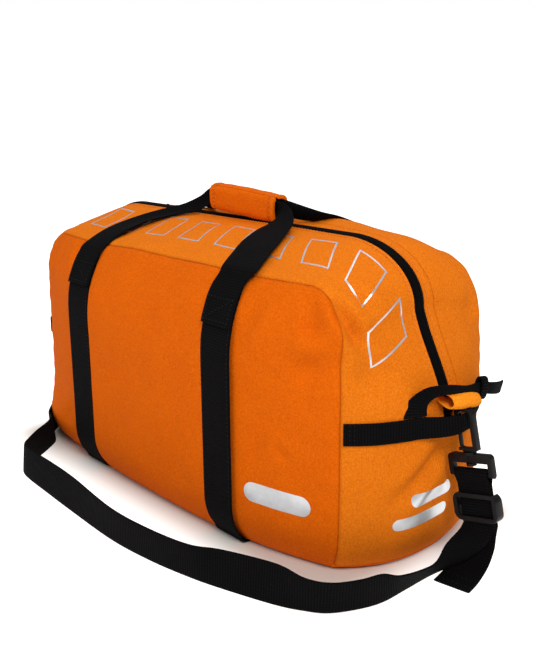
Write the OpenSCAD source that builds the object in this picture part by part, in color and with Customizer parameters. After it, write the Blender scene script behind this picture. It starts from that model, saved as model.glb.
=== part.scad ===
// Soft sports holdall: bulged front and back panels, a domed gusset with a two-way zip,
// webbing body straps and carry handles, and a clip-on shoulder strap lying in front.
// Millimetres. +Z is up, the front is -Y, and the origin is on the floor under the middle.

/* [Bag] */
// Half length of the front and back panels at their side seams
panel_half = 235; // [222:1:246]
// How far each end swells out past the side seams
end_swell = 38; // [32:1:42]
// Half depth at the fullest part of the front and back
half_depth = 125.5; // [119:0.5:132]
// Height of the top seams
seam_height = 247.5; // [243:0.5:252]
// Rise from the top seams to the zip
ridge_rise = 25; // [21:0.5:26]
// Corner radius of the front and back panels
panel_corner = 40; // [30:1:48]
// Thickness of the coated fabric with its lining
fabric = 2; // [1.4:0.1:2.4]

/* [Webbing] */
// Width of the body straps and carry handles
strap_w = 40; // [34:1:42]
// Thickness of all webbing
strap_t = 1.8; // [1.4:0.1:2]
// Distance of each body strap from the middle of the bag
strap_x = 115; // [107:1:121]
// Lower end of the sewn lap of each handle
lap_low = 202; // [190:1:212]
// Width of the bands across the ends
band_w = 19; // [17:0.5:19]
// Height of the middle of those bands
band_z = 131; // [129:0.5:132]

/* [Grip] */
// Length of the wrap round both handles
grip_len = 96; // [86:1:104]
// Sideways place of the middle of the wrap
grip_x = 18; // [12:1:22]
// Height of the middle of the wrap above the zip
grip_rise = 17.5; // [17:0.5:23.5]
// Height of the wrap in cross-section
grip_h = 25; // [24:0.5:26]
// Depth of the wrap in cross-section
grip_d = 20; // [19.5:0.5:23]

/* [Zip] */
// Width of the open channel that shows the zip
zip_gap = 11; // [10.4:0.1:12]
// Place along the zip where the two sliders meet
slider_meet = -110; // [-122:1:-100]
// Length of each slider
slider_len = 16; // [13:0.5:17]
// Length of each pull
pull_len = 24; // [18:1:26]

/* [Shoulder strap] */
// Width of the shoulder strap
sling_w = 33; // [28:1:33]
// Lean of the hooks away from the bag ends, in degrees
hook_lean = 13.5; // [12:0.5:15]
// Width across the strap frames and the adjuster
frame_w = 42.5; // [40:0.5:43]
// Thickness of the moulded hook arms, front to back
hook_t = 5.5; // [5:0.5:7]

/* [Hidden] */
$fn = 48;
// Clearance kept between neighbouring pieces
gap = 0.3;
// Lower edge of the fabric skins, on top of the base panel's rim
seam_low = 6;
// Tuck of the skins at the foot, and the height over which it happens
foot_tuck = 18;
foot_height = 45;
// Fall of the front panel towards its side seams and its top seam
side_fall = 35;
top_fall = 28;
fall_from = 150;
// Height above which the end swell fades out below the top corner
swell_knee = 130;
swell_end = seam_height - 9;
// Growth of the corner arc from the seams to the zip
corner_grow_x = 36;
corner_grow_z = 12;
// Inner block that the skins are thickened towards
core = [panel_half - 80, half_depth - 90, 70, seam_height - 75];
// Height where the gussets end, behind the end bands
end_seam = 132;
// Depth of the zip tape below the fabric, and sizes of tape and coil
tape_drop = fabric + 0.2;
tape_t = 0.8;
tape_w = 9;
coil_w = 2.4;
coil_t = 2.2;
coil_drop = tape_drop + tape_t + 0.2;
slit = 0.8;
// Lowest point of the zip on the ends
zip_low = 152;
// Stand-off of the free loop in the middle of each end band
loop_out = 17;
// Hinge lines of the carry handles, just outside the laps
handle_z = seam_height - 14.5;
handle_y = cap_depth(strap_x, handle_z) + 7;
// Middle of the band loop, where the hook hangs
hook_at = [panel_half + end_swell + loop_out, 0, band_z];
// Distances down the hook axis
ring_top = 13.3;
ring_low = -19;
bar_at = -41;
bar_r = 2.8;
layers_from = -49;
layers_to = -84;
adjuster_at = -69;

orange = [0.95, 0.42, 0.04];
black = [0.06, 0.06, 0.07];

// Smooth step from 0 to 1
function smooth(t) = let (c = min(1, max(0, t))) c * c * (3 - 2 * c);
function mix(a, b, t) = a + (b - a) * t;
function clamp(v, low, high) = min(high, max(low, v));

// Inward tuck of the skins near the floor
function foot(z) = foot_tuck * pow(max(0, 1 - z / foot_height), 2.5);

// Half depth of the bag on the front or back panel
function cap_depth(x, z) = half_depth - foot(z) - norm([
    side_fall * pow(min(1.2, abs(x) / panel_half), 2.8),
    top_fall * pow(max(0, (z - fall_from) / (seam_height - fall_from)), 2.2)]);

// Half length of the front panel at a height, with its rounded upper corners
function cap_half(z) = let (up = max(0, z - seam_height + panel_corner))
    panel_half - foot(z) - panel_corner + sqrt(max(0, panel_corner * panel_corner - up * up));

// Swell of the ends at a height
function swell(z) = z > swell_knee
    ? 1 - smooth((z - swell_knee) / (swell_end - swell_knee))
    : 1 - 0.15 * pow(1 - z / swell_knee, 2);

// Arch of the gusset at a share e of the depth: -1 front seam, 0 zip, 1 back seam
function ridge(e) = seam_height + ridge_rise * (1 - pow(abs(e), 1.6));
function corner_x(e) = panel_corner + corner_grow_x * (1 - e * e);
function corner_z(e) = panel_corner + corner_grow_z * (1 - e * e);
function spring(e) = ridge(e) - corner_z(e);
function side_x(z, e) = panel_half - foot(z) + end_swell * swell(z) * (1 - pow(abs(e), 2.4));
function side_t(z, e) = (z - seam_low) / (spring(e) - seam_low);

// Seam of the panel along the arch: t 0 to 1 side, 1 to 2 corner, 2 to 3 top
function seam_xz(t) =
    t <= 1 ? let (z = mix(seam_low, spring(1), t)) [cap_half(z), z]
    : t <= 2 ? let (a = 90 * (t - 1))
        [panel_half - panel_corner * (1 - cos(a)), spring(1) + panel_corner * sin(a)]
    : [(panel_half - panel_corner) * (3 - t), seam_height];

function arch(t, e) = let (s = seam_xz(t), y = e * cap_depth(s[0], s[1]),
    foot_x = side_x(spring(e), e))
    t <= 1 ? let (z = mix(seam_low, spring(e), t)) [side_x(z, e), y, z]
    : t <= 2 ? let (a = 90 * (t - 1))
        [foot_x - corner_x(e) * (1 - cos(a)), y, spring(e) + corner_z(e) * sin(a)]
    : [(foot_x - corner_x(e)) * (3 - t), y, ridge(e)];

// The whole arch: t 0 to 3 right half, 3 to 6 left half
function around(t, e) = t <= 3 ? arch(t, e) : let (p = arch(6 - t, e)) [-p[0], p[1], p[2]];

// Outward direction of the bag at a point, shared by all skins so that they meet at seams
function out_dir(p) = let (d = [p[0] - clamp(p[0], -core[0], core[0]),
    p[1] - clamp(p[1], -core[1], core[1]), p[2] - clamp(p[2], core[2], core[3])]) d / norm(d);
function lift(p, o) = p + o * out_dir(p);
function cap(x, z) = [x, -cap_depth(x, z), z];
// Point on the right end at a height and a place across the depth
function end_point(z, y) = let (e = y / cap_depth(panel_half, min(z, spring(1))))
    [side_x(z, e), y, z];
function mirror_y(g) = [for (r = g) [for (p = r) [p[0], -p[1], p[2]]]];
function raised(g, o) = [for (r = g) [for (p = r) lift(p, o)]];
function steps(n) = [for (i = [0 : n]) i / n];

function tri_quad(a, b, c, d) = [[a, b, c], [a, c, d]];

// Closed sheet between an outer and an inner grid of points
module sheet(outer, inner) {
    n = len(outer);
    m = len(outer[0]);
    k = n * m;
    polyhedron(points = concat([for (r = outer) for (p = r) p], [for (r = inner) for (p = r) p]),
        faces = concat(
            [for (i = [0 : n - 2]) for (j = [0 : m - 2]) let (a = i * m + j)
                each tri_quad(a, a + 1, a + m + 1, a + m)],
            [for (i = [0 : n - 2]) for (j = [0 : m - 2]) let (a = k + i * m + j)
                each tri_quad(a, a + m, a + m + 1, a + 1)],
            [for (j = [0 : m - 2]) each tri_quad(j + 1, j, k + j, k + j + 1)],
            [for (j = [0 : m - 2]) let (p = (n - 1) * m + j)
                each tri_quad(p, p + 1, k + p + 1, k + p)],
            [for (i = [0 : n - 2]) let (a = i * m) each tri_quad(a, a + m, k + a + m, k + a)],
            [for (i = [0 : n - 2]) let (b = i * m + m - 1)
                each tri_quad(b + m, b, k + b, k + b + m)]));
}

// Skin of the bag: a grid on the outer surface, thickened inwards
module skin(grid) {
    sheet(grid, raised(grid, -fabric));
}

// Webbing that lies on the bag between two heights above the surface
module laid(grid, low) {
    sheet(raised(grid, low + strap_t), raised(grid, low));
}

// Ribbon along stations [centre, half width vector, thickness]
function tangent(s, i) = let (d = s[min(len(s) - 1, i + 1)][0] - s[max(0, i - 1)][0]) d / norm(d);
function ribbon_side(s, side) = [for (edge = [-1, 1]) [for (i = [0 : len(s) - 1])
    let (n = cross(tangent(s, i), s[i][1]))
    s[i][0] + edge * s[i][1] + side * s[i][2] / 2 * n / norm(n)]];
module ribbon(s) {
    sheet(ribbon_side(s, -1), ribbon_side(s, 1));
}

// Smooth curve through hand-placed stations, two extra stations in every stretch
function bend(a, b, c, d, t) = 0.5 * (2 * b + (c - a) * t + (2 * a - 5 * b + 4 * c - d) * t * t
    + (3 * b - a - 3 * c + d) * t * t * t);
function smoothed(s, n = 3) = let (e = len(s) - 1) concat(
    [for (i = [0 : e - 1]) for (k = [0 : n - 1]) let (t = k / n)
        [for (part = [0 : 2]) bend(s[max(0, i - 1)][part], s[i][part], s[i + 1][part],
            s[min(e, i + 2)][part], t)]], [s[e]]);
function flipped_x(s) = [for (q = s) [[-q[0][0], q[0][1], q[0][2]],
    [-q[1][0], q[1][1], q[1][2]], q[2]]];
function flipped_y(s) = [for (q = s) [[q[0][0], -q[0][1], q[0][2]],
    [q[1][0], -q[1][1], q[1][2]], q[2]]];

// Front panel grid
cap_grid = [for (f = steps(24)) [for (g = steps(16))
    let (z = mix(seam_low, seam_height, g)) cap((2 * f - 1) * cap_half(z), z)]];
module front_panel() {
    color(orange) skin(cap_grid);
}
module back_panel() {
    color(orange) mirror([0, 1, 0]) skin(cap_grid);
}

// Gusset half from the front seam to the zip channel
function zip_share(t, half) = half / cap_depth(seam_xz(min(t, 6 - t))[0], seam_xz(min(t, 6 - t))[1]);
function along(z, e, f) = mix(side_t(z, e), 6 - side_t(z, e), f);
gusset_grid = [for (g = steps(6)) [for (f = steps(60))
    let (t0 = along(end_seam, -1, f), e = mix(-1, -zip_share(t0, zip_gap / 2), g))
    around(along(end_seam, e, f), e)]];
module front_gusset() {
    color(orange) skin(gusset_grid);
}
module rear_gusset() {
    color(orange) mirror([0, 1, 0]) skin(gusset_grid);
}

// Lower end panel
end_grid = [for (g = steps(14)) let (e = 2 * g - 1) [for (f = steps(8))
    around(side_t(mix(seam_low, end_seam, f), e), e)]];
module right_end_panel() {
    color(orange) skin(end_grid);
}
module left_end_panel() {
    color(orange) mirror([1, 0, 0]) skin(end_grid);
}

// Stiffened base with a channel under each body strap
base_edge = [for (f = steps(24)) let (p = cap((2 * f - 1) * cap_half(seam_low), seam_low)) [p[0], p[1]]];
base_end = [for (g = [1 : 13]) let (p = around(0, 2 * g / 14 - 1)) [p[0], p[1]]];
module base_panel() {
    color(orange) difference() {
        linear_extrude(height = seam_low - 0.1)
            polygon(concat(base_edge, base_end,
                [for (i = [24 : -1 : 0]) [base_edge[i][0], -base_edge[i][1]]],
                [for (i = [12 : -1 : 0]) [-base_end[i][0], base_end[i][1]]]));
        for (s = [-1, 1])
            translate([s * strap_x - strap_w / 2 - 1, -half_depth, -1])
                cube([strap_w + 2, 2 * half_depth, 1 + strap_t + 0.2]);
    }
}

// Zip strips at a depth below the surface, between two distances from the middle line
function zip_grid(y0, y1) = [for (y = [y0, y1]) [for (f = steps(60))
    let (t = along(zip_low, 0, f)) around(t, zip_share(t, y))]];
module zip_strip(y0, y1, top, thick) {
    g = zip_grid(y0, y1);
    sheet(raised(g, -top), raised(g, -top - thick));
}
module front_zip_tape() {
    color(black) zip_strip(-slit - tape_w, -slit, tape_drop, tape_t);
}
module rear_zip_tape() {
    color(black) zip_strip(slit, slit + tape_w, tape_drop, tape_t);
}
module front_zip_coil() {
    color(black) zip_strip(-slit - coil_w, -slit, coil_drop, coil_t);
}
module rear_zip_coil() {
    color(black) zip_strip(slit, slit + coil_w, coil_drop, coil_t);
}

// Slider: two plates joined by a post in the slit, and a bail for the pull
tape_top = seam_height + ridge_rise - tape_drop;
plate_t = 1.5;
slider_w = 8.6;
plate_z = tape_top + gap;
under_z = seam_height + ridge_rise - coil_drop - coil_t - gap - plate_t;
bail_r = 3;
wire_r = 0.8;
pull_z = plate_z + plate_t + 1.1;
module slider() {
    color(black) {
        difference() {
            translate([-slider_len / 2, -slider_w / 2, plate_z]) cube([slider_len, slider_w, plate_t]);
            for (s = [-1, 1])
                translate([slider_len / 2, s * slider_w, plate_z - 1]) cylinder(r = slider_w / 2 + 0.8, h = plate_t + 2);
        }
        translate([-3, -0.5, under_z]) cube([6, 1, plate_z - under_z + 0.1]);
        translate([-slider_len / 2, -slider_w / 2, under_z]) cube([slider_len, slider_w, plate_t]);
        translate([0, 0, plate_z + plate_t - 0.1]) rotate([90, 0, 0])
            rotate_extrude(angle = 180) translate([bail_r, 0]) circle(r = wire_r);
    }
}
module pull() {
    arm_in = 1.6;
    pull_w = 6.4;
    pull_t = 1.5;
    color(black) {
        translate([0, -pull_w / 2, pull_z]) rotate([-90, 0, 0]) cylinder(d = pull_t, h = pull_w);
        for (s = [-1, 1])
            translate([0, s > 0 ? arm_in : -pull_w / 2, pull_z - pull_t / 2])
                cube([7, pull_w / 2 - arm_in, pull_t]);
        translate([0, 0, pull_z - pull_t / 2]) difference() {
            union() {
                translate([6, -pull_w / 2, 0]) cube([pull_len - 6 - pull_w / 2, pull_w, pull_t]);
                translate([pull_len - pull_w / 2, 0, 0]) cylinder(d = pull_w, h = pull_t);
            }
            translate([pull_len - pull_w / 2, 0, -1]) cylinder(d = 2.6, h = pull_t + 2);
        }
    }
}
module right_zip_slider() {
    translate([slider_meet + slider_len / 2 + 0.5, 0, 0]) slider();
}
module right_zip_pull() {
    translate([slider_meet + slider_len / 2 + 0.5, 0, 0]) pull();
}
module left_zip_slider() {
    translate([slider_meet - slider_len / 2 - 0.5, 0, 0]) mirror([1, 0, 0]) slider();
}
module left_zip_pull() {
    translate([slider_meet - slider_len / 2 - 0.5, 0, 0]) mirror([1, 0, 0]) pull();
}

// Body strap: down the front, through the base channel and up the back
strap_top = handle_z - 1;
function strap_run(x, side) = let (d = cap_depth(x, seam_low), out = side * strap_t,
    fall = [for (f = steps(14)) lift(cap(x, mix(strap_top, seam_low, f)), gap + out)],
    turn = [x, -d - gap - 0.8 * out, 0.1 + strap_t - out])
    concat(fall, [turn, [x, 18 - d, turn[2]]],
        [[x, d - 18, turn[2]], [x, -turn[1], turn[2]]],
        [for (i = [14 : -1 : 0]) [fall[i][0], -fall[i][1], fall[i][2]]]);
module body_strap(x0) {
    xs = [for (k = [1, 0, -1]) x0 + k * strap_w / 2];
    color(black) sheet([for (x = xs) strap_run(x, 1)], [for (x = xs) strap_run(x, 0)]);
}
module right_body_strap() {
    body_strap(strap_x);
}
module left_body_strap() {
    body_strap(-strap_x);
}

// Sewn lap of a handle over the body strap
module lap(x0) {
    color(black) laid([for (k = [-1, 0, 1]) [for (f = steps(4))
        cap(x0 + k * strap_w / 2, mix(lap_low, handle_z - 0.6, f))]], 2 * gap + strap_t);
}
module front_right_lap() {
    lap(strap_x);
}
module front_left_lap() {
    lap(-strap_x);
}
module rear_right_lap() {
    mirror([0, 1, 0]) lap(strap_x);
}
module rear_left_lap() {
    mirror([0, 1, 0]) lap(-strap_x);
}

// Carry handle: stations [centre, half width vector, thickness] up the right leg, through the
// grip and down the left leg; the legs hug the top until they near the grip
half_w = strap_w / 2;
fold_h = 0.4 * half_w;
grip_y = 4.2;
grip_z = seam_height + ridge_rise + grip_rise;
grip_right = grip_x + grip_len / 2;
grip_left = grip_x - grip_len / 2;
function leg_foot(x, z) = lift(cap(x, z), 2 * gap + 1.5 * strap_t);
// Place over the top, as shares of the strap spacing, the half depth and the rise to the zip
function over(x, y, rise) = [x * strap_x, y * half_depth, seam_height + rise * ridge_rise];
function handle_route() = [
    [leg_foot(strap_x, handle_z + 0.4), [half_w, 0, 0], strap_t],
    [leg_foot(strap_x + 4, handle_z + 9), [half_w, 0, 0], strap_t],
    [over(1.087, -0.797, 0.14), half_w * [0.95, 0.2, 0], strap_t],
    [over(0.983, -0.606, 0.5), half_w * [0.85, 0.45, 0.1], strap_t],
    [over(0.887, -0.43, 0.78), half_w * [0.8, 0.525, 0.1], strap_t],
    [over(0.791, -0.223, 1.1), half_w * [0.7, 0.5, 0.2], 1.2 * strap_t],
    [over(0.687, -0.104, 1.42), half_w * [0.35, 0.4, 0.4], 1.5 * strap_t],
    [[grip_right + 1.5, -grip_y, grip_z], [0, 0.5, fold_h], 1.8 * strap_t],
    [[grip_x + 20, -grip_y, grip_z], [0, 0.5, fold_h], 1.8 * strap_t],
    [[grip_x - 20, -grip_y, grip_z], [0, 0.5, fold_h], 1.8 * strap_t],
    [[grip_left - 1.5, -grip_y, grip_z], [0, 0.5, fold_h], 1.8 * strap_t],
    [over(-0.522, -0.096, 1.38), half_w * [-0.4, 0.4, 0.35], 1.5 * strap_t],
    [over(-0.73, -0.223, 1.06), half_w * [-0.75, 0.5, 0.2], 1.2 * strap_t],
    [over(-0.852, -0.43, 0.78), half_w * [-0.9, 0.35, 0.1], strap_t],
    [over(-0.878, -0.606, 0.5), half_w * [-1, 0.1, 0.05], strap_t],
    [over(-0.878, -0.797, 0.14), half_w * [-1, 0.05, 0], strap_t],
    [leg_foot(-strap_x + 5, handle_z + 9), [-half_w, 0, 0], strap_t],
    [leg_foot(-strap_x, handle_z + 0.4), [-half_w, 0, 0], strap_t]];
module front_handle() {
    color(black) ribbon(smoothed(handle_route()));
}
module rear_handle() {
    color(black) ribbon(smoothed(flipped_y(handle_route())));
}

// Grip wrap: a rounded sleeve split into the fixed part and the front flap
wrap_r = 8;
module sleeve_section(inset) {
    offset(r = wrap_r - inset) square([grip_d - 2 * wrap_r, grip_h - 2 * wrap_r], center = true);
}
module sleeve(cut_low, cut_high, cut_w) {
    translate([grip_x - grip_len / 2, 0, grip_z]) rotate([90, 0, 90])
        linear_extrude(height = grip_len) difference() {
            sleeve_section(0);
            sleeve_section(fabric);
            translate([cut_low, -grip_h]) square([cut_w, grip_h + cut_high]);
        }
}
flap_y = -grip_d / 2 + wrap_r / 2;
module grip_wrap() {
    color(orange) difference() {
        sleeve(0, 0, 0.01);
        translate([grip_x - grip_len, -grip_d, grip_z - grip_h]) cube([2 * grip_len, grip_d + gap / 2, grip_h]);
        translate([grip_x - grip_len, -grip_d, grip_z - grip_h]) cube([2 * grip_len, grip_d + flap_y + gap / 2, 2 * grip_h]);
    }
}
module grip_flap() {
    color(orange) difference() {
        sleeve(0, 0, 0.01);
        translate([grip_x - grip_len, -gap / 2, grip_z - grip_h]) cube([2 * grip_len, grip_d, 2 * grip_h]);
        translate([grip_x - grip_len, flap_y - gap / 2, grip_z]) cube([2 * grip_len, grip_d, grip_h]);
    }
}

// End band: sewn at both seams, a free loop in the middle for the hook
function loop_lift(e) = loop_out * (1 - smooth((abs(e) - 0.06) / 0.36));
module end_band() {
    es = [for (g = steps(28)) 1.96 * g - 0.98];
    zs = [band_z - band_w / 2, band_z + band_w / 2];
    low = [for (e = es) [for (z = zs) let (p = around(side_t(z, e), e)) lift(p, gap) + [loop_lift(e), 0, 0]]];
    high = [for (e = es) [for (z = zs) let (p = around(side_t(z, e), e)) lift(p, gap + strap_t) + [loop_lift(e), 0, 0]]];
    color(black) sheet(high, low);
}
module right_end_band() {
    end_band();
}
module left_end_band() {
    mirror([1, 0, 0]) end_band();
}

// End grab strap: flared ends, the middle folded narrow, arched over the zip end
grab_foot = band_z + band_w / 2 + 0.6;
end_x = panel_half + end_swell;
// Place off the end, past its fullest point, at a share of the half depth and above the band
function off_end(x, y, up) = [end_x + x, y * half_depth, band_z + up];
function grab_toe(y) = lift(end_point(grab_foot, y), gap + strap_t / 2);
function grab_route() = [
    [grab_toe(-0.335 * half_depth), [4, 11, 0], strap_t],
    [off_end(2, -0.343, 22), [4, 10, -2], strap_t],
    [off_end(9, -0.255, 29), [3, 6, 5], 1.4 * strap_t],
    [off_end(12, -0.096, 30.5), [1, 0, 5], 2 * strap_t],
    [off_end(12, 0.08, 29.5), [1, 0, 5], 2 * strap_t],
    [off_end(8, 0.223, 28), [2, -2, 6], 1.4 * strap_t],
    [off_end(-1, 0.367, 21), [-3, 9, 4], strap_t],
    [grab_toe(0.43 * half_depth), [-5, 11, 0], strap_t]];
module grab_strap() {
    color(black) ribbon(smoothed(grab_route()));
}
module right_grab_strap() {
    grab_strap();
}
module left_grab_strap() {
    mirror([1, 0, 0]) grab_strap();
}
// Free tail of the grab strap, standing off past the rear corner
function tail_route() = [
    [off_end(11.5, 0.223, 28.6), [2, -1, 6], strap_t],
    [off_end(15, 0.335, 22), [2, 1, 6], strap_t],
    [off_end(9, 0.462, 15), [1, 2, 6], strap_t],
    [off_end(-1, 0.574, 11), [1, 2, 6], strap_t]];
module right_grab_tail() {
    color(black) ribbon(smoothed(tail_route()));
}
module left_grab_tail() {
    color(black) mirror([1, 0, 0]) ribbon(smoothed(tail_route()));
}

// Folded fabric tab at the end of the zip
tab_w = 36;
tab_out = 24;
tab_h = 7;
module zip_tab() {
    tab_z = zip_low - 1;
    foot_x = side_x(tab_z, 0) + 2;
    color(orange) translate([foot_x, tab_w / 2, tab_z]) rotate([90, 0, 0])
        linear_extrude(height = tab_w) difference() {
            union() {
                translate([0, -tab_h / 2]) square([tab_out - tab_h / 2, tab_h]);
                translate([tab_out - tab_h / 2, 0]) circle(d = tab_h);
            }
            translate([2, 1.5 - tab_h / 2]) square([tab_out - tab_h / 2 - 2, tab_h - 3]);
            translate([tab_out - tab_h / 2, 0]) circle(d = tab_h - 3);
        }
}
module right_zip_tab() {
    zip_tab();
}
module left_zip_tab() {
    mirror([1, 0, 0]) zip_tab();
}

// Hook hardware, built along its own axis and hung on the right band loop
module hung() {
    translate(hook_at) rotate([0, -hook_lean, 0]) children();
}
module hung_left() {
    mirror([1, 0, 0]) hung() children();
}
// Flat moulding in the hook's plane
module moulded(t) {
    rotate([90, 0, 0]) translate([0, 0, -t / 2]) linear_extrude(height = t) children();
}
ring_in = 5.4;
arm = 4;
nose = 3.2;
gate_t = 2.4;
gate_top = -3;
post_r = 2.6;
neck = 3;
collar_z = ring_low - neck - gap;
frame_top = -24;
window_top = -31.5;
rail = 4;
frame_t = 5.6;
frame_round = 3.5;
// Corner rounding of the adjuster's outline
adjuster_round = 7;
// Flat outline with rounded corners, as a block across the strap's plane
module rounded_block(w, h, r) {
    rotate([90, 0, 90]) translate([0, 0, -w / 2]) linear_extrude(height = w)
        offset(r = r) square([frame_w - 2 * r, h - 2 * r], center = true);
}
module hook() {
    color(black) {
        moulded(hook_t) difference() {
            union() {
                translate([-ring_in - nose, ring_low - neck])
                    square([2 * ring_in + nose + arm, ring_top - ring_in - ring_low + neck]);
                translate([0, ring_top - ring_in]) scale([1, 0.85])
                    intersection() {
                        circle(r = ring_in + arm);
                        translate([-ring_in - nose, 0]) square([2 * ring_in + nose + arm, 30]);
                    }
            }
            translate([-ring_in, ring_low]) square([2 * ring_in, ring_top - ring_in - ring_low]);
            translate([0, ring_top - ring_in]) scale([1, 0.72]) circle(r = ring_in);
            translate([-ring_in - nose - 1, ring_low + 0.4])
                square([nose + 1.1, gate_top - ring_low]);
            for (s = [-1, 1])
                translate([s * 11 - 6, ring_low - neck - 1]) square([12, neck - 1]);
        }
        translate([0, 0, window_top - 0.6]) cylinder(r = post_r, h = ring_low - neck - window_top + 1.6);
        translate([0, 0, window_top - 2.6]) cylinder(d = 8.5, h = 2.2);
    }
}
module hook_gate() {
    color(black) moulded(hook_t - 2)
        translate([-ring_in - gate_t - 0.4, ring_low + 0.9]) square([gate_t, gate_top - ring_low - 0.9]);
}
module swivel() {
    color(black) difference() {
        union() {
            difference() {
                intersection() {
                    translate([-frame_t / 2, -frame_w / 2, bar_at]) cube([frame_t, frame_w, frame_top - bar_at]);
                    translate([0, 0, bar_at]) rounded_block(frame_w, 2 * (frame_top - bar_at), frame_round);
                }
                translate([-frame_t, -frame_w / 2 + rail, bar_at - 1])
                    cube([2 * frame_t, frame_w - 2 * rail, window_top - bar_at + 1]);
            }
            translate([0, -frame_w / 2, bar_at]) rotate([-90, 0, 0]) cylinder(r = bar_r, h = frame_w);
            for (s = [-1, 1])
                translate([0, s * (frame_w - rail) / 2 - rail / 2, bar_at]) rotate([-90, 0, 0])
                    cylinder(r = frame_t / 2, h = rail);
            translate([0, 0, frame_top - 0.5]) cylinder(d = 11, h = collar_z - frame_top + 0.5);
        }
        translate([0, 0, window_top - 1]) cylinder(r = post_r + gap, h = 20);
    }
}

// Strap folded round the frame bar, its two layers brought together below
fold_in = bar_r + gap;
function fold_arc(r, from, to) = [for (f = steps(20)) let (a = mix(from, to, f)) [r * cos(a), bar_at + r * sin(a)]];
function fold_leg(s, low) = [[s * (gap + strap_t), layers_from], [s * (gap + strap_t), low],
    [s * gap, low], [s * gap, layers_from]];
module strap_loop(low) {
    right = fold_leg(1, low);
    color(black) moulded_across(sling_w) polygon(concat(fold_arc(fold_in + strap_t, 0, 180),
        fold_leg(-1, low), fold_arc(fold_in, 180, 0), [right[3], right[2], right[1], right[0]]));
}
module moulded_across(w) {
    translate([0, w / 2, 0]) rotate([90, 0, 0]) linear_extrude(height = w) children();
}
adjuster_h = 24;
bar_t = 2.4;
bar_h = 4;
module adjuster() {
    bar_x = 2 * gap + strap_t;
    color(black) translate([0, 0, adjuster_at]) intersection() {
        union() {
            for (s = [-1, 1]) {
                translate([-bar_x - bar_t, s > 0 ? frame_w / 2 - rail : -frame_w / 2, -adjuster_h / 2])
                    cube([2 * (bar_x + bar_t), rail, adjuster_h]);
                translate([bar_x, -frame_w / 2, s > 0 ? adjuster_h / 2 - bar_h : -adjuster_h / 2])
                    cube([bar_t, frame_w, bar_h]);
            }
            translate([-bar_x - bar_t, -frame_w / 2, -bar_h / 2]) cube([bar_t, frame_w, bar_h]);
        }
        rounded_block(frame_w, adjuster_h, adjuster_round);
    }
}
module right_hook() {
    hung() hook();
}
module left_hook() {
    hung_left() hook();
}
module right_hook_gate() {
    hung() hook_gate();
}
module left_hook_gate() {
    hung_left() hook_gate();
}
// The frame hangs in the plane of the hook, a quarter turn about its post
module turned() {
    rotate([0, 0, -90]) children();
}
module right_swivel() {
    hung() turned() swivel();
}
module left_swivel() {
    hung_left() turned() swivel();
}
module right_strap_loop() {
    hung() turned() strap_loop(layers_to);
}
left_loop_to = -65;
module left_strap_loop() {
    hung_left() turned() strap_loop(left_loop_to);
}
module right_adjuster() {
    hung() turned() adjuster();
}

// Shoulder strap: from the adjuster down to the floor, standing on its edge round the front
// and back up to the left hook
function axis_point(d, off) = [hook_at[0] - d * sin(hook_lean), -off, hook_at[2] + d * cos(hook_lean)];
layer = gap + strap_t / 2;
sling_half = sling_w / 2;
hang = sling_half * [cos(hook_lean), 0, sin(hook_lean)];
stand_z = sling_half - 0.2;
// Station on the floor: the lower edge is down, the upper edge leans by the given vector
function stand(x, y, lean) = [[x, y, stand_z], [-lean[0], -lean[1], 0.6 - stand_z], strap_t];
sling_start = axis_point(layers_to - 1, layer);
sling_end = axis_point(left_loop_to - 1, 0);
function sling_route() = [
    [sling_start, hang, strap_t],
    [[306, -3, 39], [16, -1, 2], strap_t],
    [[301, -10, 28], [8.5, 13, -4], strap_t],
    [[297, -22, 18], [2, 16, -5], strap_t],
    [[288, -39, 11], [-5, 12.5, -9.5], strap_t],
    [[288, -71, 14], [-5, 9.5, -12.5], strap_t],
    stand(285, -92, [3, -4]), stand(279, -112, [3, -3]), stand(267, -133, [3, -2]),
    stand(250, -144, [1, -1]), stand(223, -151, [-3, 4]), stand(177, -168, [-3, 3]),
    stand(148, -180, [0, 0]), stand(102, -189, [0, 0]), stand(46, -193, [0, 1]),
    stand(-34, -188, [0, 4]), stand(-80, -186, [0, 4]), stand(-122, -185, [0, 3]),
    stand(-141, -183, [0, 2]), stand(-151, -178, [1, 1]), stand(-158, -170, [1, 0]),
    stand(-172, -152, [-1, 0]), stand(-188, -128, [-1, 0]), stand(-200, -112, [-1, -1]),
    stand(-217, -106, [0, -1]), stand(-242, -96, [-2, -2]),
    [[-266, -81, 15], [4, 6, -14.5], strap_t],
    [[-283, -60, 13.5], [5, 9.5, -12.2], strap_t],
    [[-290, -38, 12], [5, 12.5, -9], strap_t],
    [[-299, -20, 21], [-2, 16, -5], strap_t],
    [[-304, -8, 34], [-9, 13, -3], strap_t],
    [[-sling_end[0], -1, sling_end[2] - 12], [-16.2, 1, 3], strap_t],
    [[-sling_end[0], 0, sling_end[2]], [-hang[0], 0, hang[2]], strap_t]];
module shoulder_strap() {
    color(black) ribbon(smoothed(sling_route()));
}
tail_start = axis_point(layers_to - 1, -layer);
function sling_tail_route() = [
    [tail_start, hang, strap_t],
    [[306, 5, 38], [16.2, 0, 3], strap_t],
    [[303, 8, 24], [16.3, 0, 2], strap_t],
    [[302, 1, 11], [16.4, 1, 1], strap_t],
    [[303, -14, 3.5], [16.3, 2, 0], strap_t],
    [[305, -29.5, 1.3], [16.2, 2.7, 0], strap_t]];
module strap_tail() {
    color(black) ribbon(smoothed(sling_tail_route()));
}

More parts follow.
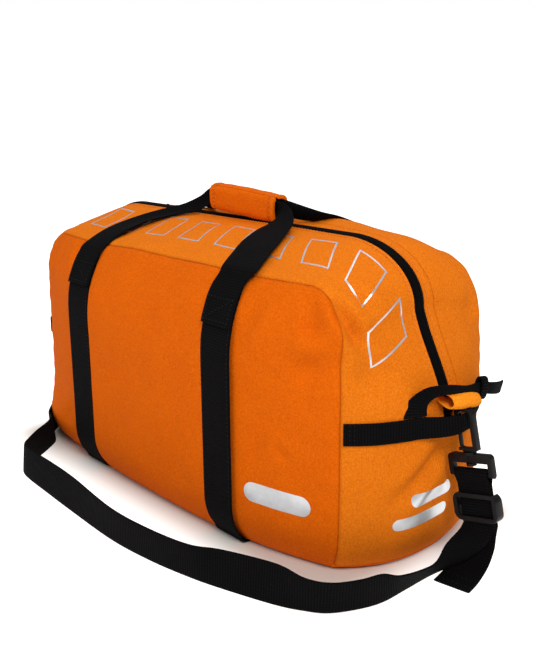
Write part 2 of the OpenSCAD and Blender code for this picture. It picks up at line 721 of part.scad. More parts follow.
front_panel();
back_panel();
base_panel();
front_gusset();
rear_gusset();
right_end_panel();
left_end_panel();
front_zip_tape();
rear_zip_tape();
front_zip_coil();
rear_zip_coil();
right_zip_slider();
right_zip_pull();
left_zip_slider();
left_zip_pull();
right_body_strap();
left_body_strap();
front_right_lap();
front_left_lap();
rear_right_lap();
rear_left_lap();
front_handle();
rear_handle();
grip_wrap();
grip_flap();
right_end_band();
left_end_band();
right_grab_strap();
left_grab_strap();
right_grab_tail();
left_grab_tail();
right_zip_tab();
left_zip_tab();
right_hook();
left_hook();
right_hook_gate();
left_hook_gate();
right_swivel();
left_swivel();
right_strap_loop();
left_strap_loop();
right_adjuster();
shoulder_strap();
strap_tail();
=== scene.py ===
"""Looks of a soft sports holdall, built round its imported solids.

Sizes inside the classes are millimetres in the part's own frame: +Z is up and the front is -Y.
Meshes are made in metres. Every cloth and webbing piece is a closed shell with a UV map in
metres, so that weave and ribs keep their real pitch.
"""

import logging
import math
from dataclasses import dataclass, field
from enum import Enum
from typing import Callable, Sequence

import bmesh
import bpy
import numpy as np
from mathutils import Matrix, Vector
from mathutils.kdtree import KDTree


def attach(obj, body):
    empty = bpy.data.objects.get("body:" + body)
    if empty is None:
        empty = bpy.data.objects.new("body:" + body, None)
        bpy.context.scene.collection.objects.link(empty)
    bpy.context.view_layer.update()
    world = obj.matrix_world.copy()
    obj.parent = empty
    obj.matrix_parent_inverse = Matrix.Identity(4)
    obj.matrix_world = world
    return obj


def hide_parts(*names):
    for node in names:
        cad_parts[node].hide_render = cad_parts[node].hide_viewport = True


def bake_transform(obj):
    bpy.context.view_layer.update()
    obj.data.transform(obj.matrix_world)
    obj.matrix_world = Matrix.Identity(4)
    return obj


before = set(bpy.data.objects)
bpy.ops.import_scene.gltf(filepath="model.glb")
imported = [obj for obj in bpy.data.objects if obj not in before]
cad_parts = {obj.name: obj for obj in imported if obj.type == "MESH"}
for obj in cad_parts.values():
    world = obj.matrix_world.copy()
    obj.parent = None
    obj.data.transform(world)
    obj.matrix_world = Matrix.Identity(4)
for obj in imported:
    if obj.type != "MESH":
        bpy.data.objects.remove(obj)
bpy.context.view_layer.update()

LOG = logging.getLogger("holdall")
MM = 0.001
Array = np.ndarray
Pair = tuple[float, float]
Point = tuple[float, float, float]
Colour = tuple[float, float, float, float]
# Centre, half width vector and thickness of a strap
Station = tuple[Sequence[float], Sequence[float], float]
Socket = bpy.types.NodeSocket
MIRROR_Y = np.array([1, -1, 1])


class Side(Enum):
    """Right or left end of the bag, as the sign of X."""

    RIGHT = 1
    LEFT = -1

    @property
    def label(self) -> str:
        """Name in pieces, nodes and bodies."""
        return self.name.lower()

    @property
    def flip(self) -> Array:
        """Factors that take points from the right end to this one."""
        return np.array([self.value, 1, 1])


class Face(Enum):
    """Front or rear of the bag, as the sign of Y."""

    FRONT = -1
    REAR = 1

    @property
    def label(self) -> str:
        """Name in pieces, nodes and bodies."""
        return self.name.lower()

    @property
    def flip(self) -> Array:
        """Factors that take points from the rear to this face."""
        return np.array([1, self.value, 1])


class Slot(Enum):
    """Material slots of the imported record."""

    FABRIC = "coated_fabric"
    WEBBING = "webbing"
    TAPE = "zip_tape"
    METAL = "zip_metal"
    PLASTIC = "hook_plastic"


def smooth_step(t: Array) -> Array:
    """Smooth step from 0 to 1."""
    c = np.clip(t, 0.0, 1.0)
    return c * c * (3.0 - 2.0 * c)


def to_linear(code: str) -> Colour:
    """Turn an sRGB hex colour into linear RGBA.

    Args:
        code: six hex digits.

    Returns:
        Linear red, green and blue, with alpha 1.
    """
    parts = [int(code[i:i + 2], 16) / 255.0 for i in (0, 2, 4)]
    red, green, blue = (c / 12.92 if c <= 0.04045 else ((c + 0.055) / 1.055) ** 2.4 for c in parts)
    return red, green, blue, 1.0


def clustered(length: float, first: float, grow: float, most: float) -> Array:
    """Places along a run that crowd together at both of its ends.

    Args:
        length: length of the run.
        first: step at the ends.
        grow: factor from one step to the next.
        most: largest step.

    Returns:
        Shares of the length, from 0 to 1.
    """
    half, step = [0.0], first
    while half[-1] < length / 2:
        half.append(half[-1] + step)
        step = min(step * grow, most)
    left = np.array(half) * (0.5 / half[-1])
    return np.concatenate([left, 1.0 - left[-2::-1]])


def curve_through(values: Array, steps: int) -> Array:
    """Smooth curve through rows of numbers.

    Args:
        values: one row for each station.
        steps: pieces that each stretch is divided into.

    Returns:
        Rows of the curve, with the stations among them.
    """
    v = np.asarray(values, float)
    last = len(v) - 1
    t = (np.arange(steps) / steps)[:, None]
    rows = []
    for i in range(last):
        a, b, c, d = v[max(0, i - 1)], v[i], v[i + 1], v[min(last, i + 2)]
        rows.append(0.5 * (2 * b + (c - a) * t + (2 * a - 5 * b + 4 * c - d) * t ** 2
                           + (3 * b - a - 3 * c + d) * t ** 3))
    return np.concatenate(rows + [v[-1:]])


def unit(v: Array) -> Array:
    """Rows scaled to length 1."""
    return v / np.maximum(np.linalg.norm(v, axis=-1, keepdims=True), 1e-9)


def run_along(points: Array) -> Array:
    """Length along a line of points, up to each of them."""
    steps = np.linalg.norm(np.diff(points, axis=0), axis=1)
    return np.concatenate([[0.0], np.cumsum(steps)])


def tube_faces(rings: int, around: int) -> list[list[int]]:
    """Faces of a tube closed at both ends.

    Args:
        rings: number of rings.
        around: points in each ring.

    Returns:
        Vertex numbers of each face, with the points ring by ring.
    """
    idx = np.arange(rings * around).reshape(rings, around)
    nxt = np.roll(idx, -1, axis=1)
    quads = np.stack([idx[:-1], nxt[:-1], nxt[1:], idx[1:]], -1).reshape(-1, 4)
    return quads.tolist() + [idx[0, ::-1].tolist(), idx[-1].tolist()]


def link(name: str, data: bpy.types.ID) -> bpy.types.Object:
    """New object with the given data, linked to the scene."""
    made = bpy.data.objects.new(name, data)
    bpy.context.scene.collection.objects.link(made)
    return made


def new_piece(name: str, points: Array, faces: list, uv: Array | None = None,
              marks: dict[str, Array] | None = None, sharp: float = 50.0) -> bpy.types.Object:
    """Make a mesh piece with outward faces and smooth shading.

    Args:
        name: name of the piece.
        points: vertices in millimetres.
        faces: vertex numbers of each face.
        uv: place on the cloth for each vertex, in metres.
        marks: named numbers for each vertex, read by the materials.
        sharp: edges that bend more than this, in degrees, stay sharp.

    Returns:
        The new object, linked to the scene.
    """
    mesh = bpy.data.meshes.new(name)
    mesh.from_pydata((np.asarray(points) * MM).tolist(), [], faces)
    if uv is not None:
        loops = np.zeros(len(mesh.loops), np.int32)
        mesh.loops.foreach_get("vertex_index", loops)
        layer = mesh.uv_layers.new(name="UVMap")
        layer.data.foreach_set("uv", np.asarray(uv, np.float32)[loops].ravel())
    for key, values in (marks or {}).items():
        mark = mesh.attributes.new(key, "FLOAT", "POINT")
        mark.data.foreach_set("value", np.asarray(values, np.float32))
    soften(mesh, sharp)
    return link(name, mesh)


def soften(mesh: bpy.types.Mesh, sharp: float) -> None:
    """Turn faces outwards, shade them smooth and keep the sharp edges.

    Args:
        mesh: mesh to change.
        sharp: edges that bend more than this, in degrees, stay sharp.
    """
    work = bmesh.new()
    work.from_mesh(mesh)
    bmesh.ops.recalc_face_normals(work, faces=work.faces)
    for face in work.faces:
        face.smooth = True
    for edge in work.edges:
        edge.smooth = edge.calc_face_angle(0.0) < math.radians(sharp)
    work.to_mesh(mesh)
    work.free()


def grid_shell(name: str, outer: Array, inner: Array, marks: Array | None = None,
               sharp: float = 50.0) -> bpy.types.Object:
    """Closed sheet between an outer and an inner grid of points.

    Args:
        name: name of the piece.
        outer: grid of points, rows by columns by 3.
        inner: the same grid on the inner side.
        marks: closeness to a seam for each grid point, from 0 to 1, which the fabric darkens as painted
            shade.
        sharp: edges that bend more than this, in degrees, stay sharp.

    Returns:
        The new piece, with a UV map that runs along the grid.
    """
    n, m = outer.shape[:2]
    k = n * m
    idx = np.arange(k).reshape(n, m)
    quads = np.stack([idx[:-1, :-1], idx[:-1, 1:], idx[1:, 1:], idx[1:, :-1]], -1).reshape(-1, 4)
    rim = np.concatenate([idx[0, :], idx[1:, -1], idx[-1, -2::-1], idx[-2:0:-1, 0]])
    turn = np.roll(rim, -1)
    faces = quads.tolist() + (quads[:, ::-1] + k).tolist()
    faces += np.stack([turn, rim, rim + k, turn + k], -1).tolist()
    run = np.zeros((n, m, 2))
    run[1:, :, 0] = np.cumsum(np.linalg.norm(np.diff(outer, axis=0), axis=2), axis=0)
    run[:, 1:, 1] = np.cumsum(np.linalg.norm(np.diff(outer, axis=1), axis=2), axis=1)
    run -= run[n // 2, m // 2]
    uv = np.tile(run.reshape(-1, 2) * MM, (2, 1))
    near = np.zeros(k) if marks is None else marks.ravel()
    return new_piece(name, np.concatenate([outer.reshape(-1, 3), inner.reshape(-1, 3)]), faces, uv,
                     {"seam": np.tile(near, 2)}, sharp)


def dress(piece: bpy.types.Object, material: bpy.types.Material, body: str | None = None,
          stands_for: Sequence[str] = ()) -> bpy.types.Object:
    """Give a piece its material, its body and the solids that it stands for.

    Args:
        piece: piece to dress.
        material: its finish.
        body: body that it rides on, or None to leave it without one.
        stands_for: CAD nodes that it replaces.

    Returns:
        The same piece.
    """
    piece.data.materials.clear()
    piece.data.materials.append(material)
    if body:
        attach(piece, body)
    if stands_for:
        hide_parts(*stands_for)
    LOG.info("%s: %d faces", piece.name, len(piece.data.polygons))
    return piece


def add_node(tree: bpy.types.NodeTree, kind: str, values: dict | None = None,
             links: dict | None = None, **settings: object) -> bpy.types.Node:
    """Add a node with its settings and links.

    Args:
        tree: tree that gets the node.
        kind: Blender's name of the node type.
        values: constants by input name or number.
        links: output sockets by input name or number.
        **settings: the node's own settings.

    Returns:
        The new node.
    """
    made = tree.nodes.new(kind)
    for key, value in settings.items():
        setattr(made, key, value)
    for key, value in (values or {}).items():
        made.inputs[key].default_value = value
    for key, source in (links or {}).items():
        tree.links.new(source, made.inputs[key])
    return made


def blank_material(name: str) -> tuple[bpy.types.Material, bpy.types.NodeTree]:
    """New material with an empty node tree.

    Args:
        name: name of the material.

    Returns:
        The material and its tree.
    """
    material = bpy.data.materials.new(name)
    material.use_nodes = True
    material.node_tree.nodes.clear()
    return material, material.node_tree


# Wave Texture bands repeat every 2 pi / 20 of its scaled coordinate
WAVE_TURN = 2.0 * math.pi / 20.0


class Surface:
    """Node tree of one finish, with the steps that all finishes share."""

    def __init__(self, name: str) -> None:
        """Start an empty tree.

        Args:
            name: name of the material.
        """
        self.material, self.tree = blank_material(name)
        place = add_node(self.tree, "ShaderNodeTexCoord")
        self.uv, self.here = place.outputs["UV"], place.outputs["Object"]

    def noise(self, size: float, detail: float, roughness: float = 0.5) -> Socket:
        """Noise through the object, with its grain size in millimetres."""
        return add_node(self.tree, "ShaderNodeTexNoise",
                        {"Scale": 1.0 / (size * MM), "Detail": detail, "Roughness": roughness},
                        {"Vector": self.here}).outputs["Fac"]

    def bands(self, pitch: float, direction: str, **values: float) -> Socket:
        """Even bands on the cloth, with their pitch in millimetres."""
        named = {key.replace("_", " ").title(): value for key, value in values.items()}
        return add_node(self.tree, "ShaderNodeTexWave", {"Scale": WAVE_TURN / (pitch * MM), **named},
                        {"Vector": self.uv}, bands_direction=direction).outputs["Fac"]

    def times(self, first: Socket, second: Socket | float, plus: Socket | None = None) -> Socket:
        """Product of two numbers, with a third added where there is one."""
        fixed = isinstance(second, float)
        links = {0: first} if fixed else {0: first, 1: second}
        if plus is not None:
            links[2] = plus
        return add_node(self.tree, "ShaderNodeMath", {1: second} if fixed else None, links,
                        operation="MULTIPLY" if plus is None else "MULTIPLY_ADD").outputs[0]

    def between(self, share: float, first: Socket, second: Socket) -> Socket:
        """Fixed blend of two numbers."""
        return add_node(self.tree, "ShaderNodeMix", {0: share}, {2: first, 3: second},
                        data_type="FLOAT").outputs[0]

    def span(self, value: Socket, inside: Pair = (0.0, 1.0), to: Pair = (0.0, 1.0)) -> Socket:
        """Number moved from one span to another."""
        return add_node(self.tree, "ShaderNodeMapRange", {1: inside[0], 2: inside[1], 3: to[0], 4: to[1]},
                        {0: value}).outputs[0]

    def tones(self, share: Socket, low: str | Socket, high: str) -> Socket:
        """Colour between a low and a high tone."""
        values, links = {7: to_linear(high)}, {0: share}
        if isinstance(low, str):
            values[6] = to_linear(low)
        else:
            links[6] = low
        return add_node(self.tree, "ShaderNodeMix", values, links, data_type="RGBA").outputs[2]

    def finish(self, colour: Socket, rough: Socket, height: Socket, bump: Pair,
               values: dict[str, object]) -> bpy.types.Material:
        """Close the tree with its shader.

        Args:
            colour: base colour.
            rough: roughness.
            height: relief of the bump.
            bump: strength of the bump and its height in millimetres.
            values: other inputs of the shader.

        Returns:
            The finished material.
        """
        relief = add_node(self.tree, "ShaderNodeBump", {"Strength": bump[0], "Distance": bump[1] * MM},
                          {"Height": height})
        shader = add_node(self.tree, "ShaderNodeBsdfPrincipled", values,
                          {"Base Color": colour, "Roughness": rough, "Normal": relief.outputs[0]})
        add_node(self.tree, "ShaderNodeOutputMaterial", None, {"Surface": shader.outputs[0]})
        return self.material


@dataclass(frozen=True)
class CoatedPolyester:
    """Plain-woven polyester with a PU coat: satin, faintly woven, and darkened along its seams as painted
    shade.
    """

    name: str = "coated_polyester"
    low: str = "CE5503"
    high: str = "E76C08"
    # Dark tone mixed in along the seams: painted shade in the seam grooves
    dirt: str = "6E2802"
    # The real thread pitch of 0.6 mm is under a pixel, so it is drawn at 1.5 mm
    thread: float = 1.5
    mottle: float = 34.0
    grain: float = 1.4
    grain_share: float = 0.85
    grain_relief: float = 0.35
    tone_span: Pair = (0.3, 0.7)
    # How far the seams are darkened towards that tone: painted seam shade
    seam_shade_strength: float = 0.34
    roughness: Pair = (0.72, 0.88)
    bump: Pair = (0.45, 0.5)

    def material(self) -> bpy.types.Material:
        """Build the node tree."""
        cloth = Surface(self.name)
        cross = cloth.times(cloth.bands(self.thread, "X"), cloth.bands(self.thread, "Y"))
        cloud, grain = cloth.noise(self.mottle, 4.0, 0.6), cloth.noise(self.grain, 2.0)
        tone = cloth.span(cloth.between(self.grain_share, cloud, grain), self.tone_span)
        # Closeness to a seam darkens the colour: painted shade where the seams pull in
        near = add_node(cloth.tree, "ShaderNodeAttribute", attribute_name="seam", attribute_type="GEOMETRY")
        seam_shade_strength = cloth.times(near.outputs["Fac"], self.seam_shade_strength)
        colour = cloth.tones(seam_shade_strength, cloth.tones(tone, self.low, self.high), self.dirt)
        height = cloth.times(grain, self.grain_relief, cross)
        return cloth.finish(
            colour, cloth.span(cloud, to=self.roughness), height, self.bump,
            {"IOR": 1.5, "Specular IOR Level": 0.04, "Sheen Weight": 0.02, "Sheen Roughness": 0.4,
             "Sheen Tint": to_linear("FFA050")})


@dataclass(frozen=True)
class Webbing:
    """Woven polypropylene webbing: cross ribs and lengthwise cords with a dull synthetic sheen, the crests of
    the ribs and cords painted lighter as a painted sheen.
    """

    name: str = "polypropylene_webbing"
    low: str = "050506"
    # Tone on the crests of the ribs and cords: painted sheen
    high: str = "110F12"
    # Real ribs are 1.2 mm apart, drawn at 2.4 mm so that they show
    rib: float = 2.4
    cord: float = 3.2
    cord_share: float = 0.22
    fuzz: float = 2.0
    fuzz_relief: float = 0.3
    mottle: float = 30.0
    roughness: Pair = (0.96, 0.8)
    bump: Pair = (0.6, 0.6)

    def material(self) -> bpy.types.Material:
        """Build the node tree."""
        strap = Surface(self.name)
        ribs = strap.bands(self.rib, "X", distortion=0.6, detail_scale=2.0)
        weave = strap.between(self.cord_share, ribs, strap.bands(self.cord, "Y"))
        # The colour lifts towards the high tone on the crests of the ribs and cords, broken by noise: painted
        # sheen
        tone = strap.times(weave, strap.noise(self.mottle, 2.0))
        height = strap.times(strap.noise(self.fuzz, 3.0), self.fuzz_relief, weave)
        return strap.finish(
            strap.tones(tone, self.low, self.high), strap.span(weave, to=self.roughness), height, self.bump,
            {"IOR": 1.49, "Specular IOR Level": 0.06, "Sheen Weight": 0.01, "Sheen Roughness": 0.5,
             "Sheen Tint": to_linear("8C8C96")})


@dataclass(frozen=True)
class Moulded:
    """Smooth moulded or enamelled surface with fine grain and rubbed highlights."""

    name: str
    low: str
    high: str
    grain: float
    roughness: Pair
    metallic: float = 0.0
    bump: float = 0.12
    bump_height: float = 0.2
    level: float = 0.5
    # Rubbed patches, in grains
    patch: float = 12.0

    def material(self) -> bpy.types.Material:
        """Build the node tree."""
        skin = Surface(self.name)
        broad = skin.noise(self.patch * self.grain, 4.0, 0.65)
        return skin.finish(
            skin.tones(broad, self.low, self.high), skin.span(broad, to=self.roughness),
            skin.noise(self.grain, 3.0), (self.bump, self.bump_height),
            {"Metallic": self.metallic, "Specular IOR Level": self.level})


@dataclass(frozen=True)
class Finishes:
    """All finishes of the holdall, built once."""

    fabric: bpy.types.Material
    # Lighter, yellower copy of the fabric for the gussets and ends: painted light
    gusset: bpy.types.Material
    # Brighter copy of the fabric for the zip tabs: painted light
    tab: bpy.types.Material
    webbing: bpy.types.Material
    tape: bpy.types.Material
    metal: bpy.types.Material
    plastic: bpy.types.Material
    silver: bpy.types.Material
    thread: bpy.types.Material
    dark_thread: bpy.types.Material

    @classmethod
    def build(cls) -> "Finishes":
        """Build every material."""
        return cls(
            fabric=CoatedPolyester().material(),
            # The same cloth in a lighter, yellower copy for the gussets and ends: painted light, as these
            # faces take more of the lamps
            gusset=CoatedPolyester("coated_polyester_painted_lit", "D2660D", "EC8018").material(),
            # Brighter copy of the orange fabric for the zip tabs: painted light
            tab=CoatedPolyester("tab_polyester_painted_lit", "E67C10", "FF9C24").material(),
            webbing=Webbing().material(),
            # Knitted polyester tape: a finer, softer black than the webbing
            tape=Webbing("knitted_zip_tape", "040405", "0C0C0E", rib=1.6, cord=1.8).material(),
            # Black stove enamel on die-cast zinc: satin, a little rubbed
            metal=Moulded("enamelled_zinc", "060607", "0E0E10", 0.5, (0.34, 0.5), level=0.2).material(),
            # Acetal, injection moulded: satin black with a soft bloom
            plastic=Moulded("moulded_acetal", "050506", "0E0E10", 0.8, (0.38, 0.52), level=0.16).material(),
            # Retroreflective print: grey silver with a fine bead sparkle
            silver=Moulded("retroreflective_print", "B9BDC2", "E3E6EA", 0.9, (0.3, 0.44), metallic=0.75,
                           bump=0.3).material(),
            thread=Moulded("polyester_thread", "C95C10", "E88A35", 0.4, (0.5, 0.65)).material(),
            dark_thread=Moulded("black_polyester_thread", "070708", "121214", 0.4, (0.55, 0.7),
                                level=0.15).material())


@dataclass(frozen=True)
class BagShape:
    """Outer surface of the stuffed bag, the same as the part's own."""

    panel_half: float = 235.0
    end_swell: float = 38.0
    half_depth: float = 125.5
    seam_height: float = 247.5
    ridge_rise: float = 25.0
    corner: float = 40.0
    corner_grow: tuple[float, float] = (36.0, 12.0)
    seam_low: float = 6.0
    foot_tuck: float = 18.0
    foot_height: float = 45.0
    side_fall: float = 35.0
    top_fall: float = 28.0
    fall_from: float = 150.0
    swell_knee: float = 130.0
    end_seam: float = 132.0
    zip_half: float = 5.5

    def foot(self, z: Array) -> Array:
        """Inward tuck of the skins near the floor."""
        return self.foot_tuck * np.maximum(0.0, 1.0 - z / self.foot_height) ** 2.5

    def depth(self, x: Array, z: Array) -> Array:
        """Half depth on the front or back panel."""
        side = self.side_fall * np.minimum(1.2, np.abs(x) / self.panel_half) ** 2.8
        up = (z - self.fall_from) / (self.seam_height - self.fall_from)
        top = self.top_fall * np.maximum(0.0, up) ** 2.2
        return self.half_depth - self.foot(z) - np.hypot(side, top)

    def half(self, z: Array) -> Array:
        """Half length of the front panel at a height."""
        up = np.maximum(0.0, z - self.seam_height + self.corner)
        return (self.panel_half - self.foot(z) - self.corner
                + np.sqrt(np.maximum(0.0, self.corner ** 2 - up ** 2)))

    def swell(self, z: Array) -> Array:
        """Swell of the ends at a height."""
        knee = self.swell_knee
        return np.where(z > knee, 1.0 - smooth_step((z - knee) / (self.seam_height - 9.0 - knee)),
                        1.0 - 0.15 * (1.0 - z / knee) ** 2)

    def ridge(self, e: Array) -> Array:
        """Height of the gusset's arch; e is -1 at the front seam, 0 at the zip, 1 at the back seam."""
        return self.seam_height + self.ridge_rise * (1.0 - np.abs(e) ** 1.6)

    def spring(self, e: Array) -> Array:
        """Height where the corner of the arch starts."""
        return self.ridge(e) - self.corner - self.corner_grow[1] * (1.0 - e * e)

    def side_x(self, z: Array, e: Array) -> Array:
        """Half length of the bag on its end."""
        return self.panel_half - self.foot(z) + self.end_swell * self.swell(z) * (1.0 - np.abs(e) ** 2.4)

    def side_t(self, z: Array, e: Array) -> Array:
        """Place along the arch of a height on the end."""
        return (z - self.seam_low) / (self.spring(e) - self.seam_low)

    def seam(self, t: Array) -> tuple[Array, Array]:
        """X and Z of the panel seam along the arch."""
        top = self.spring(np.array(1.0))
        z = self.seam_low + (top - self.seam_low) * t
        a = np.pi / 2 * (t - 1.0)
        x = np.where(t <= 1, self.half(z), np.where(
            t <= 2, self.panel_half - self.corner * (1.0 - np.cos(a)),
            (self.panel_half - self.corner) * (3.0 - t)))
        return x, np.where(t <= 1, z, np.where(t <= 2, top + self.corner * np.sin(a), self.seam_height))

    def around(self, t: Array, e: Array) -> Array:
        """Point on the gusset or end.

        Args:
            t: 0 to 1 right side, 1 to 2 its corner, 2 to 4 the top, 4 to 6 the left.
            e: -1 front seam, 0 zip, 1 back seam.

        Returns:
            Points in millimetres.
        """
        t, e = np.broadcast_arrays(np.asarray(t, float), np.asarray(e, float))
        k = np.minimum(t, 6.0 - t)
        sx, sz = self.seam(k)
        spring = self.spring(e)
        grow = 1.0 - e * e
        foot = self.side_x(spring, e)
        z = self.seam_low + (spring - self.seam_low) * k
        a = np.pi / 2 * (k - 1.0)
        cx, cz = self.corner + self.corner_grow[0] * grow, self.corner + self.corner_grow[1] * grow
        x = np.where(k <= 1, self.side_x(z, e), np.where(k <= 2, foot - cx * (1.0 - np.cos(a)),
                                                       (foot - cx) * (3.0 - k)))
        up = np.where(k <= 1, z, np.where(k <= 2, spring + cz * np.sin(a), self.ridge(e)))
        return np.stack([np.where(t <= 3, x, -x), e * self.depth(sx, sz), up], -1)

    def along(self, z: float, e: Array, f: Array) -> Array:
        """Place along the arch at a share f of the way from height z on the right to z on the left."""
        start = self.side_t(z, e)
        return start + (6.0 - 2.0 * start) * f

    def share(self, t: Array, y: Array) -> Array:
        """Share e of a distance y from the zip line."""
        sx, sz = self.seam(np.minimum(t, 6.0 - t))
        return y / self.depth(sx, sz)

    def front(self, x: Array, z: Array) -> Array:
        """Point on the front panel."""
        x, z = np.broadcast_arrays(np.asarray(x, float), np.asarray(z, float))
        return np.stack([x, -self.depth(x, z), z], -1)

    def end(self, y: Array, z: Array) -> Array:
        """Point on the right end."""
        y, z = np.broadcast_arrays(np.asarray(y, float), np.asarray(z, float))
        e = y / self.depth(np.array(self.panel_half), np.minimum(z, self.spring(np.array(1.0))))
        return np.stack([self.side_x(z, e), y, z], -1)

    def outward(self, p: Array) -> Array:
        """Outward direction at points on the bag."""
        low = np.array([80.0 - self.panel_half, 90.0 - self.half_depth, 70.0])
        high = np.array([self.panel_half - 80.0, self.half_depth - 90.0, self.seam_height - 75.0])
        return unit(p - np.clip(p, low, high))


class Line:
    """A line through the cloth that answers how far away points are."""

    def __init__(self, points: Array) -> None:
        """Index the line.

        Args:
            points: close points along it, in millimetres.
        """
        self.points = np.asarray(points, float)
        self.run = run_along(self.points)
        self.tree = KDTree(len(self.points))
        for i, p in enumerate(self.points):
            self.tree.insert(p, i)
        self.tree.balance()

    def near(self, points: Array, reach: float) -> tuple[Array, Array]:
        """Distance and place along the line of points near it.

        Args:
            points: points to measure.
            reach: distance past which the exact number doesn't matter.

        Returns:
            Distances, large where out of reach, and places along the line from 0 to its length.
        """
        away, place = np.full(len(points), 1e6), np.zeros(len(points))
        low, high = self.points.min(0) - reach, self.points.max(0) + reach
        for i in np.flatnonzero(((points > low) & (points < high)).all(1)):
            _, j, far = self.tree.find(points[i])
            if far > reach + 4.0:
                continue
            best, at = far, self.run[j]
            for a, b in ((j - 1, j), (j, j + 1)):
                if a < 0 or b >= len(self.points):
                    continue
                ab = self.points[b] - self.points[a]
                t = float(np.clip((points[i] - self.points[a]) @ ab / max(ab @ ab, 1e-9), 0.0, 1.0))
                d = float(np.linalg.norm(points[i] - self.points[a] - t * ab))
                if d < best:
                    best, at = d, self.run[a] + t * (self.run[b] - self.run[a])
            away[i], place[i] = best, at
        return away, place


@dataclass(frozen=True)
class Crease:
    """A fold in the cloth: a valley with soft lips along a path."""

    path: tuple[Point, ...]
    depth: float
    width: float

    def push(self, points: Array) -> Array:
        """How far the fold moves points outwards, in millimetres."""
        line = Line(curve_through(np.array(self.path, float), 10))
        away, at = line.near(points, 4.0 * self.width)
        q = away / self.width
        taper = np.sin(np.pi * np.clip(at / line.run[-1], 0.02, 0.98)) ** 0.7
        return self.depth * taper * (0.4 * np.exp(-((q - 1.8) / 0.9) ** 2) - np.exp(-q * q))


# Path, depth and width of each fold; a negative depth makes a ridge
CREASES = tuple(Crease(*row) for row in (
    (((222, -88, 240), (230, -84, 230), (236, -79, 217), (240, -72, 200)), 11.0, 7.0),
    (((214, -70, 250), (228, -66, 238), (240, -58, 222)), 4.0, 8.0),
    (((273, 8, 119), (273, -10, 104), (269, -31, 84), (258, -58, 64)), 4.8, 8.0),
    (((273, 6, 104), (272, 4, 87), (271, 12, 68)), 3.6, 6.0),
    (((203, -94, 238), (208, -97, 222), (206, -100, 206)), 3.3, 7.0),
    (((160, -108, 232), (148, -113, 212), (138, -116, 192)), 3.0, 9.0),
    (((226, -94, 203), (207, -101, 199), (190, -105, 202)), -5.0, 9.0),
    (((217, -97, 186), (206, -101, 174), (194, -105, 168)), 3.6, 9.0),
    (((236, -85, 206), (240, -80, 190), (240, -78, 172)), -3.6, 8.0),
    (((161, -114, 108), (157, -115, 95), (151, -115, 82)), 2.2, 5.0),
    (((176, -109, 107), (184, -107, 102), (190, -106, 95)), 2.0, 5.0),
    (((238, -84, 188), (246, -69, 178), (256, -40, 176)), 2.7, 13.0),
    (((-138, -96, 247), (-140, -105, 232), (-143, -111, 212)), 3.3, 9.0),
    (((-205, -93, 236), (-210, -97, 216), (-206, -100, 196)), 2.8, 8.0),
    (((-150, -115, 60), (-160, -112, 45), (-178, -106, 36)), 2.7, 7.0),
    (((-229, -80, 230), (-236, -70, 212), (-240, -52, 200)), 2.4, 9.0),
    (((229, 84, 231), (236, 76, 214), (238, 60, 200)), 2.4, 9.0),
    (((-229, 84, 231), (-236, 76, 214), (-238, 60, 200)), 6.6, 9.0),
    (((-273, 4, 116), (-271, 22, 96), (-262, 50, 70)), 4.5, 8.0),
    (((168, 112, 110), (158, 114, 92), (150, 114, 76)), 2.4, 6.0),
    (((-60, 124, 60), (-30, 122, 42), (10, 121, 36)), 2.4, 9.0),
    (((50, 110, 226), (20, 116, 200), (26, 121, 170)), 2.4, 11.0),
))


